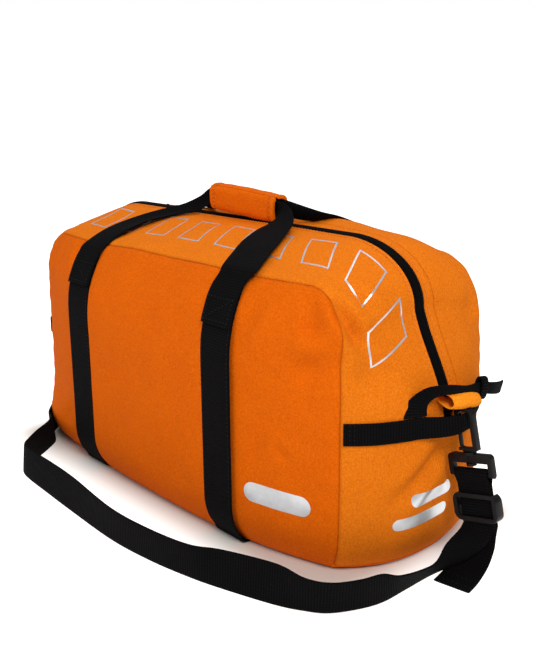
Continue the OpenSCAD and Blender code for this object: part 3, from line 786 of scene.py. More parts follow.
@dataclass
class Cloth:
    """The sewn skin as it really lies: billows, creases and seams pulled in."""

    shape: BagShape
    groove: float = 2.0
    pucker: float = 0.32
    seam_roll: float = 0.7
    sag: float = 4.5
    # The body straps hold the cloth flat under them, out to hold_x from their middle
    strap_x: float = 115.0
    hold_x: float = 27.0
    hold_y: float = 80.0
    lean_x: tuple[float, ...] = (-220.0, -120.0, 0.0, 70.0, 110.0, 175.0, 240.0)
    lean_share: tuple[float, ...] = (0.0, 0.5, 0.7, 1.0, 0.95, 0.5, 0.0)
    lean: float = 11.0
    lean_y: Pair = (46.0, 28.0)
    lean_z: Pair = (200.0, 40.0)
    # The low left corner sags sideways: its middle, reach, direction and size
    corner_at: Point = (-205.0, -100.0, 20.0)
    corner_reach: Point = (52.0, 48.0, 34.0)
    corner_way: Point = (0.6, 0.8, 0.0)
    corner_sag: float = 13.0
    seams: list[Line] = field(default_factory=list)

    def __post_init__(self) -> None:
        """Index the seams round the front and back panels."""
        t = np.linspace(0.0, 6.0, 900)
        for face in Face:
            self.seams.append(Line(self.shape.around(t, float(face.value))))

    def billow(self, p: Array) -> Array:
        """Slow swell and slack of the stuffed skin, none beside the zip."""
        x, y, z = p.T
        waves = (1.0 * np.sin(x / 37.0 + 0.6) * np.sin(z / 29.0 + y / 51.0)
                 + 0.7 * np.sin(x / 19.0 - z / 23.0 + 1.9) * np.cos(y / 27.0 + z / 61.0)
                 + 0.35 * np.sin(x / 9.0 + z / 12.0 + 0.4) * np.sin(z / 11.0 - y / 8.0))
        held = 1.0 - np.exp(-((np.abs(x) - self.strap_x) / self.hold_x) ** 4) * (np.abs(y) > self.hold_y)
        slack = self.sag * smooth_step((np.abs(y) - 4.0) / 45.0) * smooth_step((-x - 30.0) / 110.0)
        return (waves * held * smooth_step((np.abs(y) - 8.0) / 45.0) * smooth_step((z - 4.0) / 40.0)
                - slack * smooth_step((z - 190.0) / 60.0))

    def stuffed(self, p: Array) -> Array:
        x, y, z = p.T
        along = self.lean * np.interp(x, self.lean_x, self.lean_share)
        across = np.exp(-((y - self.lean_y[0]) / self.lean_y[1]) ** 2)
        return along * across * smooth_step((z - self.lean_z[0]) / self.lean_z[1])

    def spread(self, p: Array) -> Array:
        """Sideways sag of the low left corner onto the floor."""
        far = (((p - self.corner_at) / self.corner_reach) ** 2).sum(axis=1)
        return -self.corner_sag * np.exp(-far)[:, None] * self.corner_way

    def settle(self, points: Array, sewn: bool = True) -> tuple[Array, Array]:
        """Move nominal points to where the cloth lies.

        Args:
            points: points on the nominal surface, any grid of them.
            sewn: pull the cloth in at its seams; off for what lies on the cloth.

        Returns:
            The moved points, and how close each is to a seam, from 0 to 1.
        """
        p = points.reshape(-1, 3)
        push = self.billow(p) + self.stuffed(p)
        close = np.zeros(len(p))
        for crease in CREASES:
            push += crease.push(p)
        if sewn:
            for seam in self.seams:
                away, at = seam.near(p, 30.0)
                pucker = np.sin(at / 3.1 + 1.4 * np.sin(at / 23.0)) * np.exp(-((away - 7.0) / 6.0) ** 2)
                push += (self.pucker * pucker + self.seam_roll * np.exp(-((away - 9.0) / 6.0) ** 2)
                         - self.groove * np.exp(-away / 1.5))
                close = np.maximum(close, np.exp(-away / 0.9))
        moved = p + push[:, None] * self.shape.outward(p) + self.spread(p)
        return moved.reshape(points.shape), close.reshape(points.shape[:-1])

    def above(self, points: Array, lift: float) -> Array:
        """Points that lie on the settled cloth, lifted off it."""
        p = self.settle(points, sewn=False)[0]
        return p + lift * self.shape.outward(points)


# Places across a gusset, from its zip edge and from its seam, in millimetres
ZIP_SIDE = np.array([0, 0.4, 0.9, 1.5, 2.2, 3.0, 3.8, 4.5, 5.2, 6.2, 7.6, 9.4, 11.4, 12.8, 13.4, 13.75,
                     14.0, 14.25, 14.6, 15.2, 16.6, 18.8])
SEAM_SIDE = np.array([12.8, 9.4, 6.6, 4.6, 3.1, 2.0, 1.2, 0.55, 0])
# Height and inset of each ring of the base board
BASE_RINGS = ((8.0, 2.2), (5.6, 0.6), (3.4, 1.4), (1.9, 3.6), (1.1, 7.0), (2.3, 14.0))


@dataclass
class Shell:
    """The sewn fabric shell: panels, gussets, ends and base."""

    cloth: Cloth
    finishes: Finishes
    fabric: float = 1.8
    # First step at an edge, growth from step to step and largest step of the panels' grids
    steps: Point = (0.55, 1.32, 4.2)
    end_step: float = 4.0
    gusset_steps: Point = (1.2, 1.3, 4.6)
    gusset_width: float = 88.0
    # A second piece of cloth is joined on here, behind the zip
    join_at: float = 14.0
    join_depth: float = 1.5

    def _panel(self, name: str, grid: Array, node: str, material: bpy.types.Material,
               extra: Array | None = None, dark: Array | None = None) -> bpy.types.Object:
        """Thicken a settled grid into a panel.

        Args:
            name: name of the piece.
            grid: nominal points.
            node: CAD node that it stands for.
            material: its finish.
            extra: more outward push for each point.
            dark: more closeness to a seam for each point.

        Returns:
            The dressed panel.
        """
        outer, close = self.cloth.settle(grid)
        out = self.cloth.shape.outward(grid)
        if extra is not None:
            outer = outer + extra[..., None] * out
        if dark is not None:
            close = np.maximum(close, dark)
        piece = grid_shell(name, outer, outer - self.fabric * out, close)
        dress(piece, material, "bag", [node])
        return piece

    def panels(self) -> None:
        """Front and back panels."""
        s = self.cloth.shape
        f = 2.0 * clustered(2 * s.panel_half, *self.steps) - 1.0
        g = clustered(s.seam_height - s.seam_low, *self.steps)
        z = (s.seam_low + (s.seam_height - s.seam_low) * g)[None, :]
        grid = s.front(f[:, None] * s.half(z), z + 0.0 * f[:, None])
        self._panel("front_cloth", grid, "front_panel", self.finishes.fabric)
        self._panel("back_cloth", grid * MIRROR_Y, "back_panel", self.finishes.fabric)

    def gussets(self) -> None:
        """Domed gussets with a turned and topstitched edge at the zip."""
        s = self.cloth.shape
        off = np.concatenate([ZIP_SIDE, np.linspace(22.0, 72.0, 14), self.gusset_width - SEAM_SIDE])
        f = clustered(900.0, *self.gusset_steps)
        t0 = s.along(s.end_seam, np.array(-1.0), f)[:, None]
        edge = s.share(t0, np.array(s.zip_half))
        e = -(edge + (1.0 - edge) * off[None, :] / self.gusset_width)
        grid = s.around(s.along(s.end_seam, e, f[:, None]), e)
        flat = np.broadcast_to(off, grid.shape[:2])
        welt = (-1.3 * np.exp(-(flat / 1.1) ** 2) + 0.5 * np.exp(-((flat - 2.6) / 1.4) ** 2)
                - 0.55 * np.exp(-((flat - 5.0) / 0.9) ** 2))
        # The join line behind the zip is sunk and also darkened through the seam closeness: painted shade in
        # its groove
        joined = np.exp(-np.abs(flat - self.join_at) / 0.5)
        # The gussets take the lighter, yellower copy of the fabric: painted light
        self._panel("front_gusset_cloth", grid, "front_gusset", self.finishes.gusset, welt)
        self._panel("rear_gusset_cloth", grid * MIRROR_Y, "rear_gusset", self.finishes.gusset,
                    welt - self.join_depth * joined, joined)

    def ends(self) -> None:
        """Lower end panels below the bands."""
        s = self.cloth.shape
        first, grow, _ = self.steps
        e = 2.0 * clustered(190.0, first, grow, self.end_step)[:, None] - 1.0
        g = clustered(s.end_seam - s.seam_low, first, grow, self.end_step)
        z = s.seam_low + (s.end_seam - s.seam_low) * g[None, :]
        grid = s.around(s.side_t(z, e), e)
        for side in Side:
            # The ends take the lighter, yellower copy of the fabric: painted light
            self._panel(f"{side.label}_end_cloth", grid * side.flip, f"{side.label}_end_panel",
                        self.finishes.gusset)

    def base(self) -> None:
        """Fabric-covered board under the bag."""
        s = self.cloth.shape
        low = np.array(s.seam_low)
        side = np.linspace(-1.0, 1.0, 120)
        front = s.front(side * s.half(low), low)
        right = s.around(np.zeros(60), np.linspace(-1.0, 1.0, 60))
        edge = np.concatenate([front[:-1], right[:-1], -front[:-1] * [1, 1, -1], -right[:-1] * [1, 1, -1]])
        span = np.abs(edge[:, :2]).max(axis=0)
        points = np.concatenate([np.column_stack([edge[:, :2] * (1.0 - inset / span), np.full(len(edge), z)])
                                 for z, inset in BASE_RINGS])
        points = points + self.cloth.spread(points)
        piece = new_piece("base_board", points, tube_faces(len(BASE_RINGS), len(edge)), points[:, :2] * MM,
                          {"seam": np.zeros(len(points))}, 60.0)
        dress(piece, self.finishes.fabric, "bag", ["base_panel"])


# Edges of mouldings that bend more than this are rounded, in degrees
ROUND_FROM = 28.0
ROUND_SEGMENTS = 3


def bevelled_copy(name: str, node: str, width: float) -> bpy.types.Object:
    """Copy of a rigid CAD node with its edges rounded.

    Args:
        name: name of the new piece.
        node: CAD node to copy.
        width: bevel width in millimetres.

    Returns:
        The new piece.
    """
    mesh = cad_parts[node].data.copy()
    mesh.name = name
    work = bmesh.new()
    work.from_mesh(mesh)
    bmesh.ops.remove_doubles(work, verts=work.verts, dist=1e-6)
    bmesh.ops.dissolve_limit(work, angle_limit=math.radians(1.0), verts=work.verts, edges=work.edges)
    work.to_mesh(mesh)
    work.free()
    mesh.materials.clear()
    piece = link(name, mesh)
    bevel = piece.modifiers.new("rounding", "BEVEL")
    bevel.width = width * MM
    bevel.segments = ROUND_SEGMENTS
    bevel.limit_method = "ANGLE"
    bevel.angle_limit = math.radians(ROUND_FROM)
    bevel.use_clamp_overlap = True
    bake(piece)
    soften(piece.data, 40.0)
    return piece


def bake(piece: bpy.types.Object) -> None:
    """Replace a piece's mesh by what its modifiers make, and remove them."""
    bpy.context.view_layer.update()
    seen = piece.evaluated_get(bpy.context.evaluated_depsgraph_get())
    made = bpy.data.meshes.new_from_object(seen)
    made.name = piece.name
    piece.modifiers.clear()
    piece.data = made


# Places across a strap, crowded at its edges
ACROSS = np.array([-1.0, -0.97, -0.9, -0.7, -0.35, 0.0, 0.35, 0.7, 0.9, 0.97, 1.0])


@dataclass
class Ribbon:
    """Flat webbing along a run of stations."""

    centres: Array
    halves: Array
    thick: Array
    true_half: float = 0.0
    cup: float = 1.0

    @classmethod
    def through(cls, stations: Sequence[Station], steps: int = 5, true_half: float = 0.0,
                cup: float = 1.0) -> "Ribbon":
        """Ribbon on a smooth run through stations.

        Args:
            stations: centre, half width vector and thickness of each.
            steps: pieces that each stretch is divided into.
            true_half: half of the webbing's flat width; where the stations are narrower, it cups.
            cup: side that the edges turn to, and how much.

        Returns:
            The ribbon.
        """
        rows = curve_through(np.array([[*c, *h, t] for c, h, t in stations], float), steps)
        return cls(rows[:, :3], rows[:, 3:6], rows[:, 6], true_half, cup)

    def mirrored(self, axis: int) -> "Ribbon":
        """The same ribbon on the other side of the bag."""
        flip = np.where(np.arange(3) == axis, -1.0, 1.0)
        return Ribbon(self.centres * flip, self.halves * flip, self.thick, self.true_half, -self.cup)

    def on(self, side: Side) -> "Ribbon":
        """This ribbon, made for the right end, at a given end."""
        return self if side is Side.RIGHT else self.mirrored(0)

    def normals(self) -> Array:
        """Direction of the ribbon's face at each station."""
        return unit(np.cross(np.gradient(self.centres, axis=0), self.halves))

    def run(self) -> Array:
        """Length along the middle up to each station."""
        return run_along(self.centres)

    def face(self, place: Array, across: Array, lift: float) -> Array:
        """Points over the ribbon's outer face.

        Args:
            place: lengths along the middle.
            across: places across, from -1 to 1.
            lift: distance above the face; negative values are above the other face.

        Returns:
            Points in millimetres.
        """
        run, normals = self.run(), self.normals()
        pick = [np.stack([np.interp(place, run, a[:, k]) for k in range(3)], -1)
                for a in (self.centres, self.halves, normals)]
        thick = np.interp(place, run, self.thick)
        rise = np.sign(lift) * thick / 2 + lift
        return pick[0] + across[:, None] * pick[1] + rise[:, None] * pick[2]

    def lift(self, at: int, way: Sequence[float], by: float = 0.1) -> float:
        """Signed lift off the face that looks a given way at a station."""
        return by if self.normals()[at] @ np.asarray(way, float) > 0 else -by

    def row_across(self, at: float, half: float, count: int, lift: float) -> Array:
        """Row of points across the ribbon at a length along it."""
        return self.face(np.full(count, at), np.linspace(-half, half, count), lift)

    def dressed(self, name: str, finishes: Finishes, body: str | None = None,
                stands_for: Sequence[str] = ()) -> bpy.types.Object:
        """Make the webbing as a piece with its finish.

        Args:
            name: name of the piece.
            finishes: all finishes.
            body: body that it rides on, or None to leave it without one.
            stands_for: CAD nodes that it replaces.

        Returns:
            The new piece.
        """
        return dress(self.piece(name), finishes.webbing, body, stands_for)

    def piece(self, name: str) -> bpy.types.Object:
        """Make the webbing as a closed mesh."""
        s = np.concatenate([ACROSS, ACROSS[-2:0:-1]])
        side = np.concatenate([np.ones(len(ACROSS)), -np.ones(len(ACROSS) - 2)])
        full = np.sqrt(np.maximum(0.0, 1.0 - np.abs(s) ** 16)) * side
        normals = self.normals()
        wide = np.linalg.norm(self.halves, axis=1)
        spare = np.sqrt(np.maximum(0.0, self.true_half ** 2 - wide ** 2))
        cup = self.cup * np.minimum(5.0, 0.32 * spare)
        rise = full[None, :] * self.thick[:, None] / 2 + cup[:, None] * (s ** 2 - 0.4)[None, :]
        rings = (self.centres[:, None] + s[None, :, None] * self.halves[:, None]
                 + rise[..., None] * normals[:, None])
        n, m = rings.shape[:2]
        half = max(self.true_half, float(wide.max()))
        uv = np.stack([np.repeat(self.run(), m), np.tile(s * half, n)], -1) * MM
        return new_piece(name, rings.reshape(-1, 3), tube_faces(n, m), uv)


@dataclass
class Stitches:
    """Rows of sewn thread, gathered for each body and colour."""

    pitch: float = 4.0
    length: float = 2.9
    radius: float = 0.42
    rows: dict[tuple[str, str], list[Array]] = field(default_factory=dict)

    def sew(self, body: str, colour: str, points: Array) -> None:
        """Add a row of stitches.

        Args:
            body: body that the row rides on.
            colour: field name of the thread's finish.
            points: points along the row, in millimetres.
        """
        self.rows.setdefault((body, colour), []).append(np.asarray(points, float))

    def tree(self) -> bpy.types.GeometryNodeTree:
        """Node tree that lays one stitch at every pitch along each row."""
        tree = bpy.data.node_groups.new("stitch_rows", "GeometryNodeTree")
        face = tree.interface
        face.new_socket("Rows", in_out="INPUT", socket_type="NodeSocketGeometry")
        for name in ("Pitch", "Length", "Radius"):
            face.new_socket(name, in_out="INPUT", socket_type="NodeSocketFloat")
        face.new_socket("Thread", in_out="INPUT", socket_type="NodeSocketMaterial")
        face.new_socket("Stitches", in_out="OUTPUT", socket_type="NodeSocketGeometry")
        given = add_node(tree, "NodeGroupInput")
        run = add_node(tree, "GeometryNodeMeshToCurve", None, {"Mesh": given.outputs["Rows"]})
        even = add_node(tree, "GeometryNodeResampleCurve", None,
                        {"Curve": run.outputs[0], "Length": given.outputs["Pitch"]}, mode="LENGTH")
        tangent = add_node(tree, "GeometryNodeInputTangent")
        turn = add_node(tree, "FunctionNodeAlignRotationToVector", None, {"Vector": tangent.outputs[0]},
                        axis="X")
        bead = add_node(tree, "GeometryNodeMeshIcoSphere", {"Radius": 1.0, "Subdivisions": 1})
        half = add_node(tree, "ShaderNodeMath", {1: 0.5}, {0: given.outputs["Length"]}, operation="MULTIPLY")
        size = add_node(tree, "ShaderNodeCombineXYZ", None, {0: half.outputs[0], 1: given.outputs["Radius"],
                                                            2: given.outputs["Radius"]})
        laid = add_node(tree, "GeometryNodeInstanceOnPoints", None,
                        {"Points": even.outputs[0], "Instance": bead.outputs["Mesh"],
                         "Rotation": turn.outputs[0], "Scale": size.outputs[0]})
        real = add_node(tree, "GeometryNodeRealizeInstances", None, {0: laid.outputs[0]})
        soft = add_node(tree, "GeometryNodeSetShadeSmooth", None, {0: real.outputs[0]})
        dyed = add_node(tree, "GeometryNodeSetMaterial", None,
                        {"Geometry": soft.outputs[0], "Material": given.outputs["Thread"]})
        add_node(tree, "NodeGroupOutput", None, {0: dyed.outputs[0]})
        return tree

    def build(self, finishes: Finishes) -> None:
        """Make one mesh of stitches for each body and colour."""
        tree = self.tree()
        named = {s.name: s.identifier for s in tree.interface.items_tree if s.in_out == "INPUT"}
        for (body, colour), rows in self.rows.items():
            name = f"{body}_{colour}_stitches"
            mesh = bpy.data.meshes.new(name)
            edges, at = [], 0
            for row in rows:
                edges += [(at + i, at + i + 1) for i in range(len(row) - 1)]
                at += len(row)
            mesh.from_pydata((np.concatenate(rows) * MM).tolist(), edges, [])
            piece = link(name, mesh)
            material = getattr(finishes, colour)
            sewing = piece.modifiers.new("sewing", "NODES")
            sewing.node_group = tree
            for key, size in (("Pitch", self.pitch), ("Length", self.length), ("Radius", self.radius)):
                sewing[named[key]] = size * MM
            sewing[named["Thread"]] = material
            bake(piece)
            dress(piece, material, body)


STRAP_T = 1.8


@dataclass
class CarryHandles:
    """Body straps and the two carry handles, each handle one piece with its sewn laps."""

    cloth: Cloth
    finishes: Finishes
    stitches: Stitches
    strap_x: float = 115.0
    half_w: float = 20.0
    lap_low: float = 202.0
    grip_ends: tuple[float, float] = (-30.0, 66.0)
    grip_z: float = 289.5
    tilt: float = 0.055
    # The legs lean to the right as they leave their laps
    lean_x: float = 5.0

    def grip_height(self, x: float) -> float:
        """Height of the middle of the grip, which hangs a little lower on the right."""
        return self.grip_z + self.tilt * (sum(self.grip_ends) / 2 - x)

    def on_front(self, x: float, z: float, lift: float) -> Array:
        """Point above the settled front panel."""
        return self.cloth.above(self.cloth.shape.front(np.array([x]), np.array([z])), lift)[0]

    def body_straps(self) -> None:
        """Straps sewn down the front, under the base and up the back."""
        s = self.cloth.shape
        for side in Side:
            x = side.value * self.strap_x
            fall = [self.on_front(x, z, 0.6 + STRAP_T / 2) for z in np.linspace(236.0, 8.0, 40)]
            deep = float(s.depth(np.array(x), np.array(s.seam_low)))
            under = [np.array([x, off - deep, z]) for off, z in ((-0.8, 2.6), (6.0, 1.05), (24.0, 1.0))]
            down = fall + under
            run = down + [p * MIRROR_Y for p in reversed(down)]
            wide = np.array([self.half_w, 0.0, 0.0])
            ribbon = Ribbon.through([(p, wide, STRAP_T) for p in run], steps=2)
            ribbon.dressed(f"{side.label}_body_webbing", self.finishes, "bag", [f"{side.label}_body_strap"])
            place = np.linspace(30.0, 225.0, 80)
            lift = ribbon.lift(0, (0, -1, 0))
            for across in (-0.86, 0.86):
                for along in (place, ribbon.run()[-1] - place):
                    self.stitches.sew("bag", "dark_thread", ribbon.face(along, np.full(80, across), lift))

    def _lap(self, x: float, rising: bool) -> list[Station]:
        """Stations of a sewn lap on the front, thicker at its turned-in end."""
        w, lift = self.half_w, 0.9 + 1.5 * STRAP_T
        rows = [(self.on_front(x, z, lift), (math.copysign(w, x), 0, 0), thick) for z, thick in (
            (self.lap_low, 2.8), (208.0, 2.6), (214.0, 2.0), (224.0, STRAP_T), (233.4, STRAP_T))]
        rows[-1] = (self.on_front(x + 0.3 * self.lean_x, 233.4, lift), *rows[-1][1:])
        rows.append((self.on_front(x + self.lean_x, 242.0, lift), (math.copysign(w, x), 0, 0), STRAP_T))
        return rows if rising else rows[::-1]

    def _grip(self) -> list[Station]:
        """Stations inside the wrap, where the webbing stands folded on edge."""
        low, high = self.grip_ends
        return [((x, -4.2, self.grip_height(x)), (0, 0.5, 8.3), 1.6 * STRAP_T)
                for x in (high + 1.5, 38.0, -2.0, low - 1.5)]

    def front_run(self) -> list[Station]:
        """Stations of the front handle, from the right lap over the grip to the left lap."""
        t = STRAP_T
        return [
            *self._lap(self.strap_x, True),
            ((125, -100, 251.5), (19, 4, 0), t), ((113, -76, 260.5), (17, 9, 2), t),
            ((102, -54, 267.5), (16, 10.5, 2), t), ((90, -28, 275), (14, 10, 4), t),
            ((79, -13, 281), (7, 8, 8), 1.2 * t), *self._grip(),
            ((-47, -10, 282.5), (-0.5, 2, 7.8), 1.5 * t), ((-64, -18, 276), (-3, 4, 4.6), 1.4 * t),
            ((-77, -28, 272), (-6, 6, 3.6), 1.2 * t), ((-93, -45, 266.5), (-13, 8, 2), t),
            ((-104, -65, 259.5), (-18, 6, 1), t), ((-108, -81, 253.5), (-20, 4, 0.5), t),
            *self._lap(-self.strap_x, False)]

    def rear_run(self) -> list[Station]:
        """The rear handle's stations, as seen from behind; it droops more to the right of the grip."""
        t = STRAP_T
        return [
            *self._lap(self.strap_x, True),
            ((108, -99, 255), (19.5, 2, 0), t), ((93, -74, 266.5), (17, 5, 1), t),
            ((90, -46, 277.5), (14, 3, 0), t), ((94, -18, 280), (8, 2, 5), 1.4 * t), *self._grip(),
            ((-50, -9, 281.5), (-1, 2, 7.2), 1.5 * t), ((-80, -22, 276), (-2, 8, 3.5), 1.2 * t),
            ((-100, -46, 272), (-8, 10, 3), t), ((-108, -70, 262), (-17, 7, 2), t),
            ((-111, -92, 250.5), (-20, 3, 0.5), t), *self._lap(-self.strap_x, False)]

    def handles(self) -> None:
        """Both handles with their laps, curved where they leave the bag."""
        front = Ribbon.through(self.front_run(), steps=6, true_half=self.half_w, cup=-0.5)
        rear = Ribbon.through(self.rear_run(), steps=6, true_half=self.half_w, cup=-0.5).mirrored(1)
        for face, ribbon in ((Face.FRONT, front), (Face.REAR, rear)):
            label = face.label
            piece = ribbon.dressed(f"{label}_handle_webbing", self.finishes, None,
                                   [f"{label}_handle", f"{label}_right_lap", f"{label}_left_lap"])
            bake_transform(piece)
            self._lap_boxes(ribbon)

    def _lap_boxes(self, ribbon: Ribbon) -> None:
        """Box and cross of stitches on each lap of a handle."""
        end = ribbon.run()[-1]
        outer = ribbon.lift(2, ribbon.centres[2] * [0, 1, 0], 0.15)
        for near, far in ((4.0, 24.0), (end - 4.0, end - 24.0)):
            corners = [(near, -0.8), (near, 0.8), (far, 0.8), (far, -0.8), (near, -0.8), (far, 0.8)]
            for (p0, a0), (p1, a1) in zip(corners[:-1], corners[1:]):
                self.stitches.sew("bag", "dark_thread", ribbon.face(
                    np.linspace(p0, p1, 12), np.linspace(a0, a1, 12), outer))


@dataclass
class GripWrap:
    """Padded wrap round both handles, and its front flap."""

    handles: CarryHandles
    finishes: Finishes
    stitches: Stitches
    half_d: float = 10.2
    half_h: float = 12.7
    pad: float = 2.4
    hem: float = 6.0
    # The padding thins out where the flap folds, over a reach in radians
    hinge_angle: float = 114.5
    fold_reach: float = 0.3
    row_points: int = 60

    def _section(self, angle: Array, inset: Array | float) -> tuple[Array, Array]:
        """Y and Z of the rounded section at angles, inset from the outside."""
        c, s = np.cos(angle), np.sin(angle)
        y = (self.half_d - inset) * np.sign(c) * np.abs(c) ** 0.56
        z = (self.half_h - inset) * np.sign(s) * np.abs(s) ** 0.56
        return y, z

    def _fold(self, angle: Array) -> Array:
        """Share of the full padding: 0 at the fold of the flap, 1 away from it."""
        return smooth_step(np.abs(angle - np.radians(self.hinge_angle)) / self.fold_reach)

    def _sleeve(self, name: str, first: float, last: float,
                proud: float) -> tuple[bpy.types.Object, Callable]:
        """Padded sheet bent round part of the section.

        Args:
            name: name of the piece.
            first: starting angle in degrees; 0 is the rear and 90 the top.
            last: ending angle.
            proud: how far it stands outside the section.

        Returns:
            The piece, and a function from places and angles to points just above it.
        """
        low, high = self.handles.grip_ends
        share = clustered(high - low, 0.5, 1.3, 3.0)
        x = low + (high - low) * share
        angle = np.radians(first + (last - first) * clustered(70.0, 0.5, 1.35, 2.2))

        def out(xs: Array, a: Array, inset: Array | float) -> Array:
            """Points on the quilted outside, inset from it."""
            edge = np.minimum(xs - low, high - xs)
            quilt = (0.5 * np.exp(-((edge - 2.5) / 2.2) ** 2) - 0.55 * np.exp(-((edge - self.hem) / 1.0) ** 2)
                     + 0.6 * smooth_step((edge - self.hem) / 14.0) - 0.9 * np.exp(-edge / 0.8))
            wrinkle = 0.3 * np.sin(xs / 7.0 + 2.0 * a) * np.sin(3.0 * a + xs / 19.0)
            fold = self._fold(a)
            y, z = self._section(a, inset - (proud + quilt + wrinkle) * fold + 0.5 * (1.0 - fold))
            tip = np.array([self.handles.grip_height(v) for v in xs.ravel()]).reshape(xs.shape)
            return np.stack([xs, y, z + tip], -1)

        xs, a = np.meshgrid(x, angle, indexing="ij")
        rim = np.minimum(1.0, np.abs(np.minimum(a - angle.min(), angle.max() - a)) / 0.12)
        thin = self.pad * (0.3 + 0.7 * self._fold(a))
        outer, inner = out(xs, a, 0.5 * (1.0 - rim)), out(xs, a, thin - 0.3 * (1.0 - rim))
        # Closeness to the hem's seam, which the fabric darkens as painted shade in the hem groove
        near = np.exp(-np.abs(np.minimum(xs - low, high - xs) - self.hem) / 0.7)
        return grid_shell(name, outer, inner, near, 70.0), out

    def build(self) -> None:
        """Make the wrap and its flap, with hem stitches at both ends."""
        low, high = self.handles.grip_ends
        for name, node, body, first, last, proud in (
                ("grip_wrap_padding", "grip_wrap", "rear_handle", -92.0, 113.0, 0.0),
                ("grip_flap_padding", "grip_flap", "grip_flap", 116.0, 262.0, 0.25)):
            piece, out = self._sleeve(name, first, last, proud)
            dress(piece, self.finishes.fabric, body, [node])
            n, ends = self.row_points, (low + self.hem, high - self.hem)
            angle = np.radians(np.linspace(first + 4.0, last - 4.0, n))
            edge = np.radians(last - 14.0 if body == "grip_flap" else first + 14.0)
            rows = [(np.full(n, x), angle) for x in ends] + [(np.linspace(*ends, n), np.full(n, edge))]
            for x, a in rows:
                self.stitches.sew(body, "thread", out(x, a, -0.1))


# Places across half of the zip tape, in millimetres from its slit
TAPE_Y = np.array([0.2, 0.45, 0.9, 1.6, 2.5, 3.4, 4.2, 4.9, 5.4, 5.7, 5.9, 7.0, 9.2])
# Section of a folded zip tab: reach from the bag and height
TAB_LOOP = ((-1.0, 0.9), (5.0, 3.6), (13.0, 6.2), (20.0, 5.4), (24.2, 1.6), (24.4, -1.8), (20.5, -5.0),
            (13.0, -5.6), (5.0, -3.4), (-1.0, -0.9))


@dataclass
class ZipFly:
    """Zip tapes in the channel of the dome, its coil, sliders, pulls and end tabs."""

    cloth: Cloth
    finishes: Finishes
    stitches: Stitches
    tape_low: float = 137.0
    drop: float = 2.6
    arch: float = 3.2
    stand: float = 1.4
    band_half: float = 5.9
    tape_t: float = 0.7
    tab_t: float = 1.4
    tab_half: float = 18.0
    tab_y: float = 4.0
    tab_z: float = 151.0

    def tapes(self) -> None:
        """Two knitted tapes that meet in a fine slit over the coil."""
        s = self.cloth.shape
        y, inside = TAPE_Y, TAPE_Y < self.band_half
        t = s.along(self.tape_low, np.array(0.0), np.linspace(0.0, 1.0, 260))[:, None]
        grid = s.around(t, s.share(t, y[None, :]))
        out = s.outward(grid)
        ridge = (self.arch * np.sqrt(np.maximum(0.0, 1.0 - (y / self.band_half) ** 2))
                 + self.stand * inside - 0.5 * np.exp(-(y - y[0]) / 0.4))
        for face in Face:
            flip, label = face.flip, face.label
            top = (grid + (ridge[None, :, None] - self.drop) * out) * flip
            low = (grid + (0.8 * ridge[None, :, None] - self.drop - self.tape_t) * out) * flip
            dress(grid_shell(f"{label}_zip_tape_knit", top, low), self.finishes.tape, "bag",
                  [f"{label}_zip_tape"])
            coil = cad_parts[f"{label}_zip_coil"].data.materials
            coil.clear()
            coil.append(self.finishes.tape)
            edge = s.along(s.end_seam + 4.0, np.array(0.0), np.linspace(0.0, 1.0, 420))
            row = s.around(edge, s.share(edge, np.array(s.zip_half + 5.0)))
            self.stitches.sew("bag", "thread", self.cloth.above(row, -0.35) * flip)

    def sliders(self) -> None:
        """Two sliders and their pulls."""
        for side in Side:
            for name, width in (("slider", 0.35), ("pull", 0.4)):
                node = f"{side.label}_zip_{name}"
                made = bevelled_copy(f"{side.label}_{name}_casting", node, width)
                dress(made, self.finishes.metal, f"{side.label}_{name}", [node])

    def tabs(self) -> None:
        """Soft folded loops of fabric that close the zip's ends."""
        foot = float(self.cloth.shape.side_x(np.array(self.tab_z), np.array(0.0)))
        loop, half = curve_through(np.array(TAB_LOOP), 6), self.tab_half
        y = clustered(2 * half, 0.5, 1.4, 2.5)[:, None] * 2 * half - half
        reach = loop[None, :, 0] * (1.0 - 0.22 * np.abs(y / half) ** 3.0)
        puff = 1.12 * loop[None, :, 1] * (1.0 - 0.1 * (y / half) ** 2) - 0.14 * y - 0.004 * y ** 2
        outer = np.stack([foot + reach, self.tab_y + y + 0.0 * reach,
                          self.tab_z + 0.5 + puff - 0.06 * reach], -1)
        middle = outer.mean(axis=1, keepdims=True)
        inner = outer - self.tab_t * unit((outer - middle) * [1.0, 0.0, 1.6])
        for side in Side:
            piece = grid_shell(f"{side.label}_zip_tab_loop", outer * side.flip, inner * side.flip, None, 75.0)
            # The tabs take the brighter copy of the fabric: painted light
            dress(piece, self.finishes.tab, "bag", [f"{side.label}_zip_tab"])


